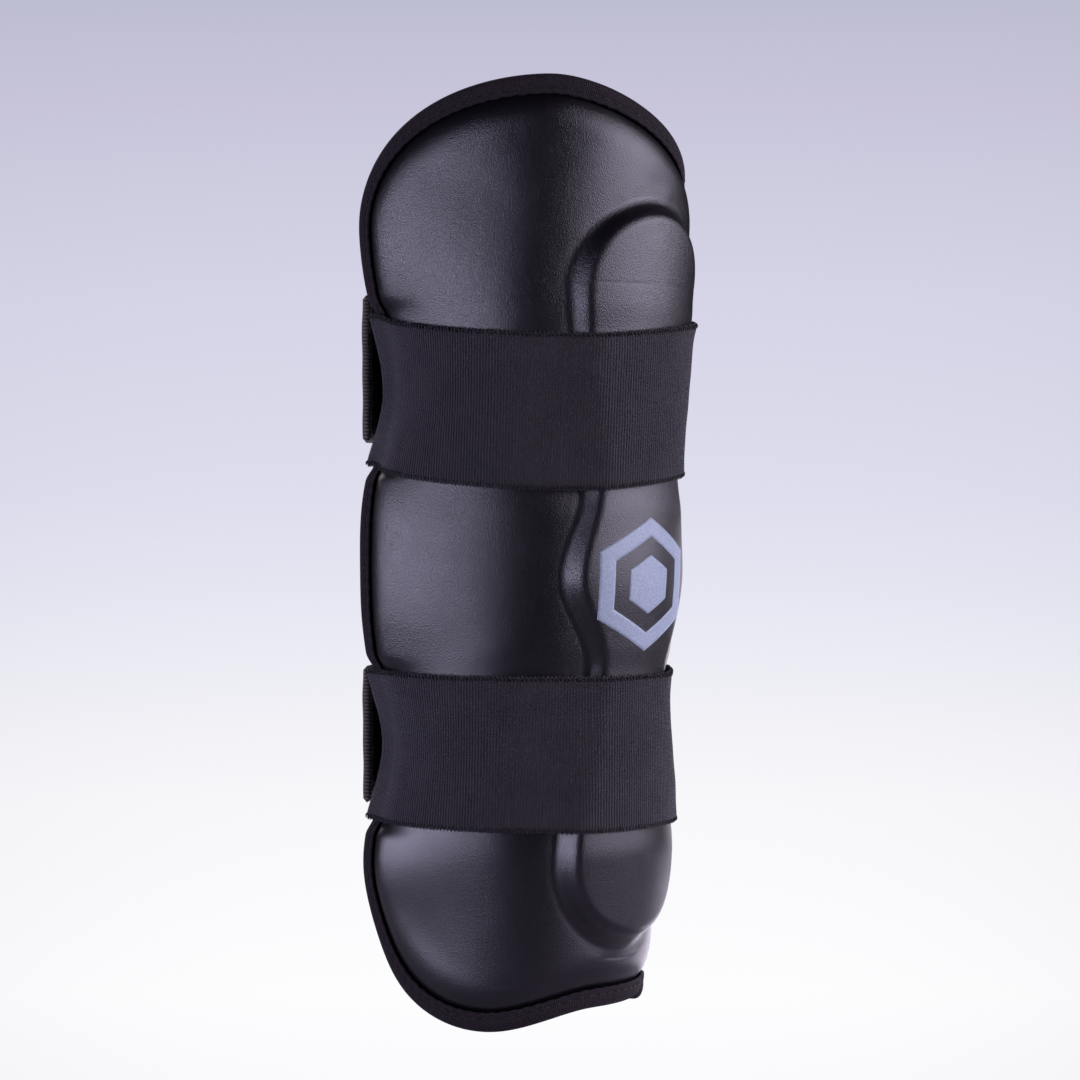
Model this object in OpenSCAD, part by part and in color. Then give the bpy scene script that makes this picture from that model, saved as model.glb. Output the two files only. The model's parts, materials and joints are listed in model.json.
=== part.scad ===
// Shin guard: padded moulded shell, stitched binding, two elastic straps that
// run round the whole leg and close with hook and loop behind the near edge.
// Units are mm. +Z is up. The front of the shin faces -Y, the calf side is +Y.
// The origin is on the axis of the leg, level with the lowest point of the
// binding; x = 0 is the middle of the ridge.
// Most shapes are laid out on the shell surface in three coordinates:
//   s  distance round the leg from the middle of the ridge (negative = near side)
//   z  height
//   o  distance out of (+) or into (-) the cover surface

/* [Shell] */
// highest point of the binding above the lowest
shell_height = 356.5; // [350:1:364]
// distance round the leg from the ridge to the near edge
near_arc = 126; // [124:0.5:128]
// distance round the leg from the ridge to the far edge
far_arc = 105; // [103:0.5:107]
// bend radius of the shell over the shin bone
front_r = 53; // [51:0.5:55]
// bend radius of the two side wings
side_r = 105; // [100:1:112]
// distance round the leg over which the front radius holds
front_half_arc = 55; // [53:0.5:57]
// size of the cross-section at the bottom, as a share of its size at mid height
scale_bottom = 0.93; // [0.92:0.005:0.94]
// size of the cross-section at the top, as a share of its size at mid height
scale_top = 1.07; // [1.06:0.005:1.08]
// how far the front line leans away from the calf from bottom to top
lean = 18; // [16:1:20]

/* [Padding] */
// thickness of the synthetic-leather cover
skin_t = 1.0; // [0.8:0.1:1.2]
// thickness of the padded body
body_t = 12; // [12:0.1:12.4]
// thickness of the squeezed rim under the binding
rim_t = 4.4; // [4.2:0.1:4.6]

/* [Ridge over the shin bone] */
// lowest point of the flat top of the ridge
ridge_bottom = 37.5; // [37:0.5:40]
// highest point of the flat top of the ridge
ridge_top = 304.5; // [302:0.5:306]
// height of the ridge above the cover in its upper lobe
ridge_h = 5.5; // [5:0.1:6]
// height of the ridge above the cover in its lowest lobe
ridge_h_low = 8; // [7.5:0.1:8.5]
// width of the sloping flank round the ridge
flank = 7; // [6:0.5:7.5]

/* [Binding] */
// how far the binding tape reaches onto the cover
binding_w = 6.2; // [5.9:0.1:6.4]
// thickness of the folded tape
binding_t = 1.0; // [0.9:0.1:1.1]
// distance between one stitch and the next
stitch_pitch = 5.2; // [5:0.1:6]

/* [Straps] */
// width of the elastic
strap_w = 58; // [57:0.5:59]
// thickness of the elastic
strap_t = 1.8; // [1.6:0.1:1.9]
// height of the middle of the upper strap at the near edge
upper_z = 241.5; // [240.5:0.5:242.5]
// height of the middle of the lower strap at the near edge
lower_z = 106; // [105:0.5:107]
// length of the reinforced tab at the end of each strap
tab_len = 54; // [50:1:56]

/* [Hidden] */

// ---- numbers and vectors
DEG = 180 / PI;
function smooth(v) = let(c = min(1, max(0, v))) c * c * (3 - 2 * c);
function ramp(x, start, length) = smooth((x - start) / length);
function bump(x, centre, width) = exp(-pow((x - centre) / width, 2));
function plateau(x, centre, half_width, fade) = smooth((half_width - abs(x - centre)) / fade);
function mix(a, b, t) = a * (1 - t) + b * t;
function unit(v) = v / norm(v);
function plan(p) = [p[0], p[1]];
// value read off [key, value] knots with soft steps between them
function soft(x, knots, i = 0) =
  x <= knots[0][0] ? knots[0][1]
  : i >= len(knots) - 1 ? knots[len(knots) - 1][1]
  : x <= knots[i + 1][0]
    ? mix(knots[i][1], knots[i + 1][1], ramp(x, knots[i][0], knots[i + 1][0] - knots[i][0]))
  : soft(x, knots, i + 1);

// ---- mesh faces: every four-cornered cell is split along its b-c diagonal
function quad(a, b, c, d) = [[a, b, c], [b, d, c]];
// cell of a regular grid; swapping the two steps turns it over
function cell(a, step_b, step_c) = quad(a, a + step_b, a + step_c, a + step_b + step_c);
// cells between two closed loops of points, given the index of each loop's first point
function loop_quads(first, second, count, flip = false) =
  [for (i = [0 : count - 1])
    let(next = (i + 1) % count, a = first + i, b = first + next, c = second + i, d = second + next)
    each (flip ? quad(a, c, b, d) : quad(a, b, c, d))];
// closed ring made of loops
function ring_faces(loops, count) =
  [for (j = [0 : loops - 1]) each loop_quads(j * count, (j + 1) % loops * count, count)];

// ---- cross-section of the cover: curvature fades from the front to the wings
function bend(arc) = 1 / side_r + (1 / front_r - 1 / side_r) / (1 + pow(arc / front_half_arc, 6));
function step_turn(arc) = bend(arc + 0.5) * DEG;   // degrees turned over the next 1 mm
section = [for (arc = 0, heading = 0, x = 0, y = 0; arc <= 160;
  x = x + cos(heading + step_turn(arc) / 2),
  y = y + sin(heading + step_turn(arc) / 2),
  heading = heading + step_turn(arc),
  arc = arc + 1) [arc, heading, x, y]];
section_heading = [for (p = section) [p[0], p[1]]];
section_x = [for (p = section) [p[0], p[2]]];
section_y = [for (p = section) [p[0], p[3]]];
function section_scale(z) = mix(scale_bottom, scale_top, z / shell_height);
front_foot_y = -42.5;   // front line at z = 0
lean_extra = 0.36;      // added to the lean
function front_y(z) = front_foot_y - (lean + lean_extra) * z / shell_height;

// ---- how the straps shape the shell: depths by which the cover moves in
near_draw = 13;         // near edge at each strap
near_draw_reach = 29;
near_draw_reach_top = 35;   // reach above the upper strap
grip_depth = 2.5;       // extra, flat across each strap, close to the near edge
near_high_draw = 1.4;   // near side above z = 120 or so
near_foot_draw = 3;     // near side round z = 34
far_draw = 4;           // far edge at each strap
far_draw_reach = 24;
press_depth = 0.7;      // front of the shell under each strap
press_drop = 8;         // the upper strap presses this far below upper_z
top_swell = 2.5;        // outward swelling of the top, round s = 40
function near_pull(arc, z) =
  near_high_draw * ramp(z, 120, 30)
  + near_foot_draw * bump(z, 34, 24)
  + near_draw * (bump(z, upper_z, z > upper_z ? near_draw_reach_top : near_draw_reach)
    + bump(z, lower_z, near_draw_reach))
  + grip_depth * (plateau(z, upper_z, 35, 7) + plateau(z, lower_z, 35, 7)) * ramp(arc, 85, 35);
function far_pull(z) =
  far_draw * (bump(z, upper_z, far_draw_reach) + bump(z, lower_z, far_draw_reach));
function front_press(z) =
  press_depth * (plateau(z, upper_z - press_drop, 40, 14) + plateau(z, lower_z, 40, 14));
function pull(s, z) = let(arc = abs(s))
  -ramp(arc, 50, 75) * (s < 0 ? near_pull(arc, z) : far_pull(z))
  - (1 - ramp(arc, 45, 35)) * front_press(z)
  + top_swell * ramp(z, 262, 36) * bump(s, 40, 28);

// point in space for shell coordinates, and the way the cover faces there
function side_of(s) = s < 0 ? -1 : 1;
function surf_normal(s) =
  let(heading = side_of(s) * lookup(abs(s), section_heading)) [sin(heading), -cos(heading), 0];
function surf(s, z, o) =
  let(arc = abs(s), size = section_scale(z))
  [side_of(s) * lookup(arc, section_x) * size, lookup(arc, section_y) * size + front_y(z), z]
  + surf_normal(s) * (o + pull(s, z));

// ---- ridge: half width and height of its flat top, as [z, value] knots
foot_half_w = 26.5;   // also the radius of its rounded lower end
head_half_w = 27;     // also the radius of its rounded upper end
foot_z = ridge_bottom + foot_half_w;
head_z = ridge_top - head_half_w;
ridge_widths = [[foot_z, foot_half_w], [137, 16], [171, 27], [205, 20], [head_z, head_half_w]];
ridge_heights = [[foot_z, ridge_h_low], [137, 5], [171, 7], [205, ridge_h]];
function ridge_half_w(z) = soft(z, ridge_widths);
function ridge_rise(z) = soft(z, ridge_heights);

// ---- outline of the shell (outside of the binding) as a ring of points,
// from the bottom of the ridge line up the near side and down the far side
half_pts = 40;
ring_pts = 2 * half_pts;
every = [0 : ring_pts - 1];
low_s = -60;          // lowest point of the bottom edge
high_s = -39.5;       // highest point of the top edge
rise = 8;             // how far the bottom edge climbs toward the ridge
near_low_z = 64.5;    // ends of the straight near edge
near_high_z = 300;
far_foot_s = 36;      // where the lower far corner starts
far_foot_h = 66;      // height of the lower far corner
far_head_h = 100;     // height of the upper far corner
far_low_z = rise + far_foot_h;
far_high_z = shell_height - far_head_h;
head_power = 1.45;    // squareness of the upper far corner, 2 = ellipse
head_w = far_arc - high_s;
near_foot_pts = 11;   // points below the straight edge on each side
far_foot_pts = 10;
edge_steps = 16;      // steps along the straight edge
strap_rows = [-36, -29, -14.5, 0, 14.5, 29, 36];   // heights about the middle of a strap
near_edge_z = concat([near_low_z], [for (q = strap_rows) lower_z + q], [172.5],
  [for (q = strap_rows) upper_z + q], [near_high_z]);
function top_z(s) = shell_height
  - far_head_h * (1 - pow(1 - pow((s - high_s) / head_w, head_power), 1 / head_power));
head_end = acos(pow(-high_s / head_w, head_power / 2));   // angle that reaches s = 0
near_side = concat(
  [for (i = [0 : 3]) let(s = low_s * i / 4) [s, rise * ramp(s, low_s, 50)]],
  [for (i = [0 : 6]) let(a = 90 * i / 7)
    [low_s - (near_arc + low_s) * sin(a), near_low_z * (1 - cos(a))]],
  [for (i = [0 : edge_steps - 1]) [-near_arc, near_edge_z[i]]],
  [for (i = [0 : 7]) let(a = 90 * i / 8)
    [high_s - (near_arc + high_s) * cos(a), near_high_z + (shell_height - near_high_z) * sin(a)]],
  [for (i = [0 : 5]) let(s = high_s * (1 - i / 5)) [s, top_z(s)]]);
far_side = concat(
  [for (i = [0 : 2]) [far_foot_s * i / 3, rise]],
  [for (i = [0 : 6]) let(a = 90 * i / 7)
    [far_foot_s + (far_arc - far_foot_s) * sin(a), far_low_z - far_foot_h * cos(a)]],
  [for (i = [0 : edge_steps - 1]) [far_arc, mix(far_low_z, far_high_z, i / edge_steps)]],
  [for (i = [0 : 14]) let(a = head_end * i / 14)
    [high_s + head_w * pow(cos(a), 2 / head_power),
      far_high_z + far_head_h * pow(sin(a), 2 / head_power)]]);
outline = [for (k = every) k <= half_pts ? near_side[k] : far_side[ring_pts - k]];
inward = [for (k = every)
  let(d = unit(outline[(k + 1) % ring_pts] - outline[(k + ring_pts - 1) % ring_pts]))
  [d[1], -d[0]]];
function inset(k, d) = outline[k] + inward[k] * d;

// ridge outline matched point for point to the shell outline:
// share scales its width, widen adds to it
function ridge_half(k, share, widen, near) =
  let(start = near ? near_foot_pts : far_foot_pts, end = start + edge_steps)
  k < start
    ? let(a = 90 * k / start, r = share * foot_half_w + widen) [r * sin(a), foot_z - r * cos(a)]
  : k <= end
    ? let(z = near ? min(head_z, max(foot_z, near_edge_z[k - start]))
        : mix(foot_z, head_z, (k - start) / edge_steps))
      [share * ridge_half_w(z) + widen, z]
  : let(a = 90 * (k - end) / (half_pts - end), r = share * head_half_w + widen)
    [r * cos(a), head_z + r * sin(a)];
function ridge_pt(k, share, widen) = k <= half_pts
  ? let(q = ridge_half(k, share, widen, true)) [-q[0], q[1]]
  : ridge_half(ring_pts - k, share, widen, false);

// ---- ten rings of the shell grid, centre to edge; each point is
// [s, z, fullness (1 = body, 0 = squeezed rim), on the ridge]
rim_inset = 1.5;   // edge of the padding inside the outline
rim_rings = [[18.5, 1], [13, 0.777], [8.8, 0], [rim_inset, 0]];   // [inset, fullness]
ridge_rings = [for (share = [0.35, 1]) [for (k = every) ridge_pt(k, share, 0)]];
flank_foot = [for (k = every) ridge_pt(k, 1, flank)];
function ring(points, fullness, on_ridge) = [for (p = points) [p[0], p[1], fullness, on_ridge]];
rings = concat(
  [for (r = ridge_rings) ring(r, 1, 1)],
  [for (t = [0, 0.25, 0.5, 0.75])
    ring([for (k = every) mix(flank_foot[k], inset(k, rim_rings[0][0]), t)], 1, 0)],
  [for (r = rim_rings) ring([for (k = every) inset(k, r[0])], r[1], 0)]);

// one face of a layer; depth = [o in the body, o in the squeezed rim]
function face_pts(depth, ridged) = [for (r = rings, p = r)
  surf(p[0], p[1], mix(depth[1], depth[0], p[2]) + (ridged ? p[3] * ridge_rise(p[1]) : 0))];

// closed solid between two faces laid out on the same rings
function sheet_faces(ring_count) =
  let(N = ring_pts, M = half_pts, under = ring_count * N, edge = under - N)
  concat(
    [for (j = [0 : ring_count - 2]) each concat(
      loop_quads(j * N, (j + 1) * N, N, flip = true),
      loop_quads(under + j * N, under + (j + 1) * N, N))],
    [for (k = [1 : M - 2]) let(a = k, b = k + 1, c = N - k - 1, d = N - k)
      each concat(quad(a, b, d, c), quad(a + under, d + under, b + under, c + under))],
    [[0, 1, N - 1], [M - 1, M, M + 1],
      [under, under + N - 1, under + 1], [under + M - 1, under + M + 1, under + M]],
    loop_quads(edge, edge + under, N, flip = true));
module sheet(outer, inner, ridged = false)
  polyhedron(concat(face_pts(outer, ridged), face_pts(inner, ridged)), sheet_faces(len(rings)));

// ---- layers: depth in the body, and share of the rim thickness above the face
rim_o = -4;   // outer face of the squeezed rim
function depth(body, rim_share) = [-body, rim_o - rim_t * rim_share];

module outer_skin() color([0.10, 0.09, 0.11])
  sheet(depth(0, 0), depth(skin_t, 0.19), ridged = true);
module main_foam() color([0.30, 0.30, 0.32])
  sheet(depth(skin_t + 0.13, 0.22), depth(body_t * 0.675, 0.56));
module comfort_foam() color([0.22, 0.22, 0.24])
  sheet(depth(body_t * 0.686, 0.59), depth(body_t * 0.908, 0.78));
module lining() color([0.12, 0.11, 0.13])
  sheet(depth(body_t * 0.92, 0.81), depth(body_t, 1));

// firm bar under the cover: the ridge rings and a thin edge just inside the foot of the flank
bar_edge = 0.8;   // share of the flank that the bar covers
bar_top_o = -skin_t - 0.12;   // plus the height of the ridge
bar_edge_o = -skin_t + 0.25;
bar_base_o = -skin_t + 0.08;
module tibia_bar_insert() {
  edge = [for (k = every) mix(ridge_rings[1][k], flank_foot[k], bar_edge)];
  top = [for (r = ridge_rings, p = r) surf(p[0], p[1], bar_top_o + ridge_rise(p[1]))];
  top_edge = [for (p = edge) surf(p[0], p[1], bar_edge_o)];
  base = [for (r = concat(ridge_rings, [edge]), p = r) surf(p[0], p[1], bar_base_o)];
  color([0.34, 0.33, 0.36]) polyhedron(concat(top, top_edge, base), sheet_faces(3));
}

// ---- binding: a folded tape swept round the rim
binding_gap = 0.5;   // air between the squeezed rim and the tape
module edge_binding() {
  top = rim_o + binding_gap;
  under = rim_o - rim_t - binding_gap;
  reach = rim_inset + binding_w;
  // [inset from the outline, o]
  profile = [[reach, top + binding_t], [2.2, top + binding_t], [0.5, top - 0.5],
    [0, (top + under) / 2], [0.5, under + 0.5], [2.2, under - binding_t],
    [reach, under - binding_t], [reach, under], [1.2, under], [1.2, top], [reach, top]];
  color([0.07, 0.06, 0.075]) polyhedron(
    [for (k = every, q = profile) let(p = inset(k, q[0])) surf(p[0], p[1], q[1])],
    ring_faces(ring_pts, len(profile)));
}

// one stitch: x along the seam, z out of the cloth
stitch_len = 3;
stitch_h = 0.4;
module stitch(at, along, out, width = 0.7) {
  x = unit(along);
  y = unit(cross(out, x));
  z = cross(x, y);
  multmatrix([for (i = [0 : 2]) [x[i], y[i], z[i], at[i]]])
    translate([-stitch_len / 2, -width / 2, 0]) cube([stitch_len, width, stitch_h]);
}
module binding_stitches() color([0.16, 0.15, 0.17]) {
  o = rim_o + binding_gap + binding_t + 0.2;
  seam = binding_w - 0.6;   // inset of the seam from the outline
  for (k = every)
    let(p = inset(k, seam), q = inset((k + 1) % ring_pts, seam),
      a = surf(p[0], p[1], o), b = surf(q[0], q[1], o),
      count = max(1, round(norm(b - a) / stitch_pitch)))
    for (i = [0 : count - 1])
      let(t = (i + 0.5) / count)
      stitch(mix(a, b, t), b - a, surf_normal(mix(p[0], q[0], t)), width = 0.8);
}

// ---- print on the ridge: a plain six-sided ring round a small six-sided spot
emblem_z = 168;
emblem_r = 25;
emblem_hole_r = 18;
spot_r = 11;
print_lo = 0.3;   // under and upper side of the print above the ridge
print_hi = 0.6;
print_pts = 48;
function hexagon(a) = cos(30) / cos(a - 60 * floor(a / 60) - 30);
function print_pt(a, radius, lift) =
  let(r = radius * hexagon(a), z = emblem_z + r * cos(a))
  surf(r * sin(a), z, ridge_rise(z) + lift);
// points of several loops, each given as [radius, lift]
function print_loops(loops) =
  [for (q = loops, i = [0 : print_pts - 1]) print_pt(360 * i / print_pts, q[0], q[1])];
module emblem_print() color([0.55, 0.58, 0.70]) {
  n = print_pts;
  polyhedron(print_loops([[emblem_r, print_lo], [emblem_r, print_hi],
      [emblem_hole_r, print_hi], [emblem_hole_r, print_lo]]),
    ring_faces(4, n));
  polyhedron(
    concat(print_loops([[spot_r, print_lo], [spot_r / 2, print_lo],
        [spot_r / 2, print_hi], [spot_r, print_hi]]),
      [for (lift = [print_lo, print_hi]) surf(0, emblem_z, ridge_rise(emblem_z) + lift)]),
    concat([for (j = [0, 2, 3]) each loop_quads(j * n, (j + 1) % 4 * n, n, flip = true)],
      [for (i = [0 : n - 1]) let(next = (i + 1) % n)
        each [[n + next, n + i, 4 * n], [2 * n + i, 2 * n + next, 4 * n + 1]]]));
}

// ---- ribbon: a solid between two faces, each a list of stations of points across rows
rows = [-1, -0.5, 0, 0.5, 1];
module ribbon(face_a, face_b) {
  T = len(face_a);
  R = len(rows);
  L = T * R;
  polyhedron(
    concat([for (station = face_a) each station], [for (station = face_b) each station]),
    concat(
      [for (t = [0 : T - 2], r = [0 : R - 2]) let(a = t * R + r)
        each concat(cell(a, 1, R), cell(a + L, R, 1))],
      [for (t = [0 : T - 2]) each concat(cell(t * R, R, L), cell(t * R + R - 1, L, R))],
      [for (r = [0 : R - 2]) each concat(cell(r, L, 1), cell((T - 1) * R + r, 1, L))]));
}

// ---- straps: [height at the near edge, dip at the front, height gained at the far edge,
//   [x, y] where it is furthest out behind the near edge, how late it climbs again]
upper = [upper_z, 9.5, 8.5, [-45.0, 46.3], 1.2];
lower = [lower_z, 0.8, 4.5, [-43.2, 47.9], 3];
function near_z(strap) = strap[0];
function dip(strap) = strap[1];
function far_z(strap) = strap[0] + strap[2];
function back_point(strap) = strap[3];
function climb_power(strap) = strap[4];

dip_s = -24;   // where the strap is lowest
function mid_z(strap, s) = s < dip_s
  ? near_z(strap) - dip(strap) * (1 - pow((s - dip_s) / (-near_arc - dip_s), 2))
  : mix(near_z(strap) - dip(strap), far_z(strap),
      pow(min(1, (s - dip_s) / (far_arc - dip_s)), climb_power(strap)));
// height of the strap's inner face over the cover: flat on the ridge, easing down beside it
function over(s, z) =
  let(w = ridge_half_w(z), h = ridge_rise(z), landing = w + 0.95 * sqrt(2 * front_r * h))
  abs(s) <= w ? h
  : abs(s) >= landing ? 0
  : h * pow((landing - abs(s)) / (landing - w), 2);

// stations of the strap: [distance from the near or far edge, o of the inner face]
inside_run = [[30, -13.2], [21, -13.1], [15, -12.5], [9, -11.4], [4, -10.7]];
outside_run = [[6, -1.55], [11, -0.95], [17, 0.35], [23, 0.85], [29, 0.85]];
far_run = [[22, 0.85], [16, 0.35], [9, -1.4], [2, -1.95], [-1, -2.1]];
strap_gap = 0.85;   // air under the strap across the front
level_end = 8;      // the strap stays level this close to the near edge
turn_r = (rim_t + 2 * binding_gap + 2 * binding_t) / 2 + 0.4;   // turn round the near edge
turn_o = rim_o - rim_t / 2;
hinge_o = -1.2;     // hinge beyond the far edge
hinge_gap = 1.7;    // bare length beside each hinge
function hinge(strap) = plan(surf(far_arc + 5, far_z(strap), hinge_o));
function strap_face(strap, outer) =
  let(w = strap_w / 2, t = outer ? strap_t : 0, start_z = near_z(strap), end_z = far_z(strap),
    end = hinge(strap), along = unit(end - plan(surf(far_arc + 1, end_z, hinge_o))),
    tip = end - hinge_gap * along + [along[1], -along[0]] * (t - strap_t / 2))
  concat(
    [for (q = inside_run) [for (r = rows) surf(q[0] - near_arc, start_z + r * w, q[1] - t)]],
    [for (a = [-90 : 30 : 90]) [for (r = rows)
      surf(rim_inset - near_arc - (turn_r + t) * cos(a), start_z + r * w,
        turn_o + (turn_r + t) * sin(a))]],
    [for (q = outside_run) let(s = q[0] - near_arc) [for (r = rows)
      surf(s, (q[0] < level_end ? start_z : mid_z(strap, s)) + r * w, q[1] + t)]],
    [for (i = [0 : 50]) let(s = mix(34 - near_arc, far_arc - 30, i / 50)) [for (r = rows)
      let(z = mid_z(strap, s) + r * w) surf(s, z, over(s, z) + strap_gap + t)]],
    [for (q = far_run) let(s = far_arc - q[0]) [for (r = rows)
      surf(s, mid_z(strap, s) + r * w, q[1] + t)]],
    [[for (r = rows) [tip[0], tip[1], end_z + r * w]]]);
module strap_front(strap) color([0.15, 0.135, 0.16])
  ribbon(strap_face(strap, true), strap_face(strap, false));

// ---- back span: an arc from the far hinge through back_point, behind the near edge;
// the mid-line of the strap runs on radius back_r
tab_dir = -139;     // way the strap faces at back_point, turned from straight ahead
back_normal = [sin(tab_dir), -cos(tab_dir)];
free_angle = 128;   // where the free end of the tab stops
tab_h = 57;
hook_t = 1.1;
hook_gap = 0.1;     // between tab and hook tape
loop_gap = 0.4;     // between hook tape and loop tape
loop_h = 52;
loop_t = 1.5;
function back_r(strap) =
  let(f = hinge(strap) - back_point(strap)) (f * f) / (-2 * f * back_normal);
function back_centre(strap) = back_point(strap) - back_r(strap) * back_normal;
function hinge_angle(strap) = let(v = hinge(strap) - back_centre(strap)) atan2(v[1], v[0]);
function tab_angle(strap) = free_angle - tab_len / back_r(strap) * DEG;
// point of the back span: angle, offset out from the mid-line, height
function back_pt(strap, a, offset, z) =
  let(c = back_centre(strap), r = back_r(strap) + offset) [c[0] + r * cos(a), c[1] + r * sin(a), z];

// a band of the arc between two offsets from the mid-line and two angles
module arc_band(strap, inner, outer, start, end, height) {
  c = back_centre(strap);
  translate([c[0], c[1], far_z(strap) - height / 2]) rotate([0, 0, start])
    rotate_extrude(angle = end - start, $fn = 180)
      translate([back_r(strap) + inner, 0]) square([outer - inner, height]);
}
module knuckle(strap, a, height)
  translate(back_pt(strap, a, 0, far_z(strap) - height / 2))
    cylinder(d = strap_t - 0.12, h = height, $fn = 48);
// a length of strap with a knuckle at its start
module hinged_band(strap, start, end, height)
  union() {
    arc_band(strap, -strap_t / 2, strap_t / 2, start, end, height);
    knuckle(strap, start, height);
  }
module strap_back(strap) color([0.15, 0.135, 0.16])
  hinged_band(strap, hinge_angle(strap),
    tab_angle(strap) - hinge_gap / back_r(strap) * DEG, strap_w);
module strap_tab(strap) color([0.17, 0.14, 0.13])
  hinged_band(strap, tab_angle(strap), free_angle, tab_h);
module hook_tape(strap) color([0.06, 0.06, 0.065]) {
  outer = -strap_t / 2 - hook_gap;
  arc_band(strap, outer - hook_t, outer, tab_angle(strap) + 4, free_angle - 4.5, tab_h - 6);
}

// a rectangle of stitches on the outside of the tab
module tab_stitches(strap) color([0.20, 0.18, 0.18]) {
  offset_out = strap_t / 2 + 0.08;
  half_h = tab_h / 2 - 4.5;
  start = tab_angle(strap) + 5;
  end = free_angle - 3.5;
  along = round((end - start) / DEG * (back_r(strap) + offset_out) / stitch_pitch);
  up = round(2 * half_h / stitch_pitch);
  for (side = [-1, 1], i = [0 : along - 1])
    let(a = mix(start, end, (i + 0.5) / along))
    stitch(back_pt(strap, a, offset_out, far_z(strap) + side * half_h),
      [-sin(a), cos(a), 0], [cos(a), sin(a), 0]);
  for (a = [start, end], i = [1 : up - 1])
    stitch(back_pt(strap, a, offset_out, far_z(strap) + mix(-half_h, half_h, i / up)),
      [0, 0, 1], [cos(a), sin(a), 0]);
}

// ---- loop tape: sewn inside the near edge, runs back and lies under the hook tape
loop_run = [[31, -15.6], [24, -15.4], [16, -14.85], [9, -14.3]];   // [from the near edge, o]
loop_start = 113;   // angle where it joins the arc of the back span
function loop_face(strap, t) =
  let(w = loop_h / 2, offset_in = -strap_t / 2 - hook_gap - hook_t - loop_gap - t)
  concat(
    [for (q = loop_run) [for (r = rows) surf(q[0] - near_arc, near_z(strap) + r * w, q[1] - t)]],
    [for (i = [0 : 8])
      let(a = mix(loop_start, tab_angle(strap) + 6, i / 8),
        z = mix(near_z(strap), far_z(strap), min(1, (i + 2) / 4)))
      [for (r = rows) back_pt(strap, a, offset_in, z + r * w)]]);
module loop_tape(strap) color([0.05, 0.05, 0.055])
  ribbon(loop_face(strap, loop_t), loop_face(strap, 0));

// stitching that holds the strap and the loop tape inside the near edge: two rows and the ends
function sewn(from_edge, z) = surf(from_edge - near_arc, z, from_edge > 20 ? -17.7 : -17.34);
module anchor_stitches(strap) color([0.18, 0.17, 0.19]) {
  half_h = loop_h / 2 - 5;
  for (d = [28, 18], i = [0 : 8])
    let(z = near_z(strap) + mix(-half_h, half_h, i / 8))
    stitch(sewn(d, z), [0, 0, 1], -surf_normal(d - near_arc));
  for (side = [-1, 1])
    let(z = near_z(strap) + side * (half_h + 2.2))
    stitch(sewn(23, z), sewn(25, z) - sewn(21, z), -surf_normal(23 - near_arc));
}

outer_skin();
tibia_bar_insert();
main_foam();
comfort_foam();
lining();
edge_binding();
binding_stitches();
emblem_print();
strap_front(upper);  // upper_strap_front
loop_tape(upper);  // upper_loop_tape
anchor_stitches(upper);  // upper_anchor_stitches
strap_back(upper);  // upper_strap_back
strap_tab(upper);  // upper_strap_tab
hook_tape(upper);  // upper_hook_tape
tab_stitches(upper);  // upper_tab_stitches
strap_front(lower);  // lower_strap_front
loop_tape(lower);  // lower_loop_tape
anchor_stitches(lower);  // lower_anchor_stitches
strap_back(lower);  // lower_strap_back
strap_tab(lower);  // lower_strap_tab
hook_tape(lower);  // lower_hook_tape
tab_stitches(lower);  // lower_tab_stitches
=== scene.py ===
import json
import math
import bpy
import numpy as np
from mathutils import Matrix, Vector


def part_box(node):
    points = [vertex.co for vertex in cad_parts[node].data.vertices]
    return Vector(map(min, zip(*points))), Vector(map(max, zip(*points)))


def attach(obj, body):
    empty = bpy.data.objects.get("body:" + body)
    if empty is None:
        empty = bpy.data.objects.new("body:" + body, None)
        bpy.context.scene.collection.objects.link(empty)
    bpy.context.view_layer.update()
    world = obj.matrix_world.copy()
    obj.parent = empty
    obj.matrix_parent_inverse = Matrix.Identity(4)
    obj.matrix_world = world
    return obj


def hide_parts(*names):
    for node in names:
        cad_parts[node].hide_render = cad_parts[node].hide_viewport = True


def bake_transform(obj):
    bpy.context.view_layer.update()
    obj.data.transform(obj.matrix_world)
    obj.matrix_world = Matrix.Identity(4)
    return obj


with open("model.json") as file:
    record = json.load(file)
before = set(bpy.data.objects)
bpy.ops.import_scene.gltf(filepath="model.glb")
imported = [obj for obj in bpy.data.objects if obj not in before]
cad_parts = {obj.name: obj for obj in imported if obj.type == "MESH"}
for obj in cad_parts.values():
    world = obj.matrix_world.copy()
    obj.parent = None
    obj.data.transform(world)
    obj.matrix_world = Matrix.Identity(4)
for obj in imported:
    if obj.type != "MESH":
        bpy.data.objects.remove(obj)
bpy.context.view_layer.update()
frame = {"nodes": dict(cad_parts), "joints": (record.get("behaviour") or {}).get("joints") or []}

JOINTS = {j["name"]: j for j in frame["joints"]}
MM = 0.001

# ------------------------------------------------------------------ shape of the shell (mm)
BIND = [np.array(v) * 1000 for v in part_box("edge_binding")]
H = round(float(BIND[1][2]), 3)
NEAR, FAR = 126.0, 105.0
FRONT_R, SIDE_R, HALF = 53.0, 105.0, 55.0
RIM_O, RIM_T, BODY_T = -4.0, 4.4, 12.0
Z_UP, Z_LOW = 241.5, 106.0
PITCH = 5.2


def ss(v):
    c = np.clip(v, 0, 1)
    return c * c * (3 - 2 * c)


def mix(a, b, t):
    return a * (1 - t) + b * t


def bend_at(a):
    return 1 / SIDE_R + (1 / FRONT_R - 1 / SIDE_R) / (1 + (a / HALF) ** 6)


_d = 0.25
_a = np.arange(0, 170, _d)
_k = bend_at(_a + _d / 2) * _d
_p = np.concatenate([[0], np.cumsum(_k)])
_pm = _p[:-1] + _k / 2
_x = np.concatenate([[0], np.cumsum(np.cos(_pm) * _d)])
_y = np.concatenate([[0], np.cumsum(np.sin(_pm) * _d)])
_A = np.arange(len(_p)) * _d


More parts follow.
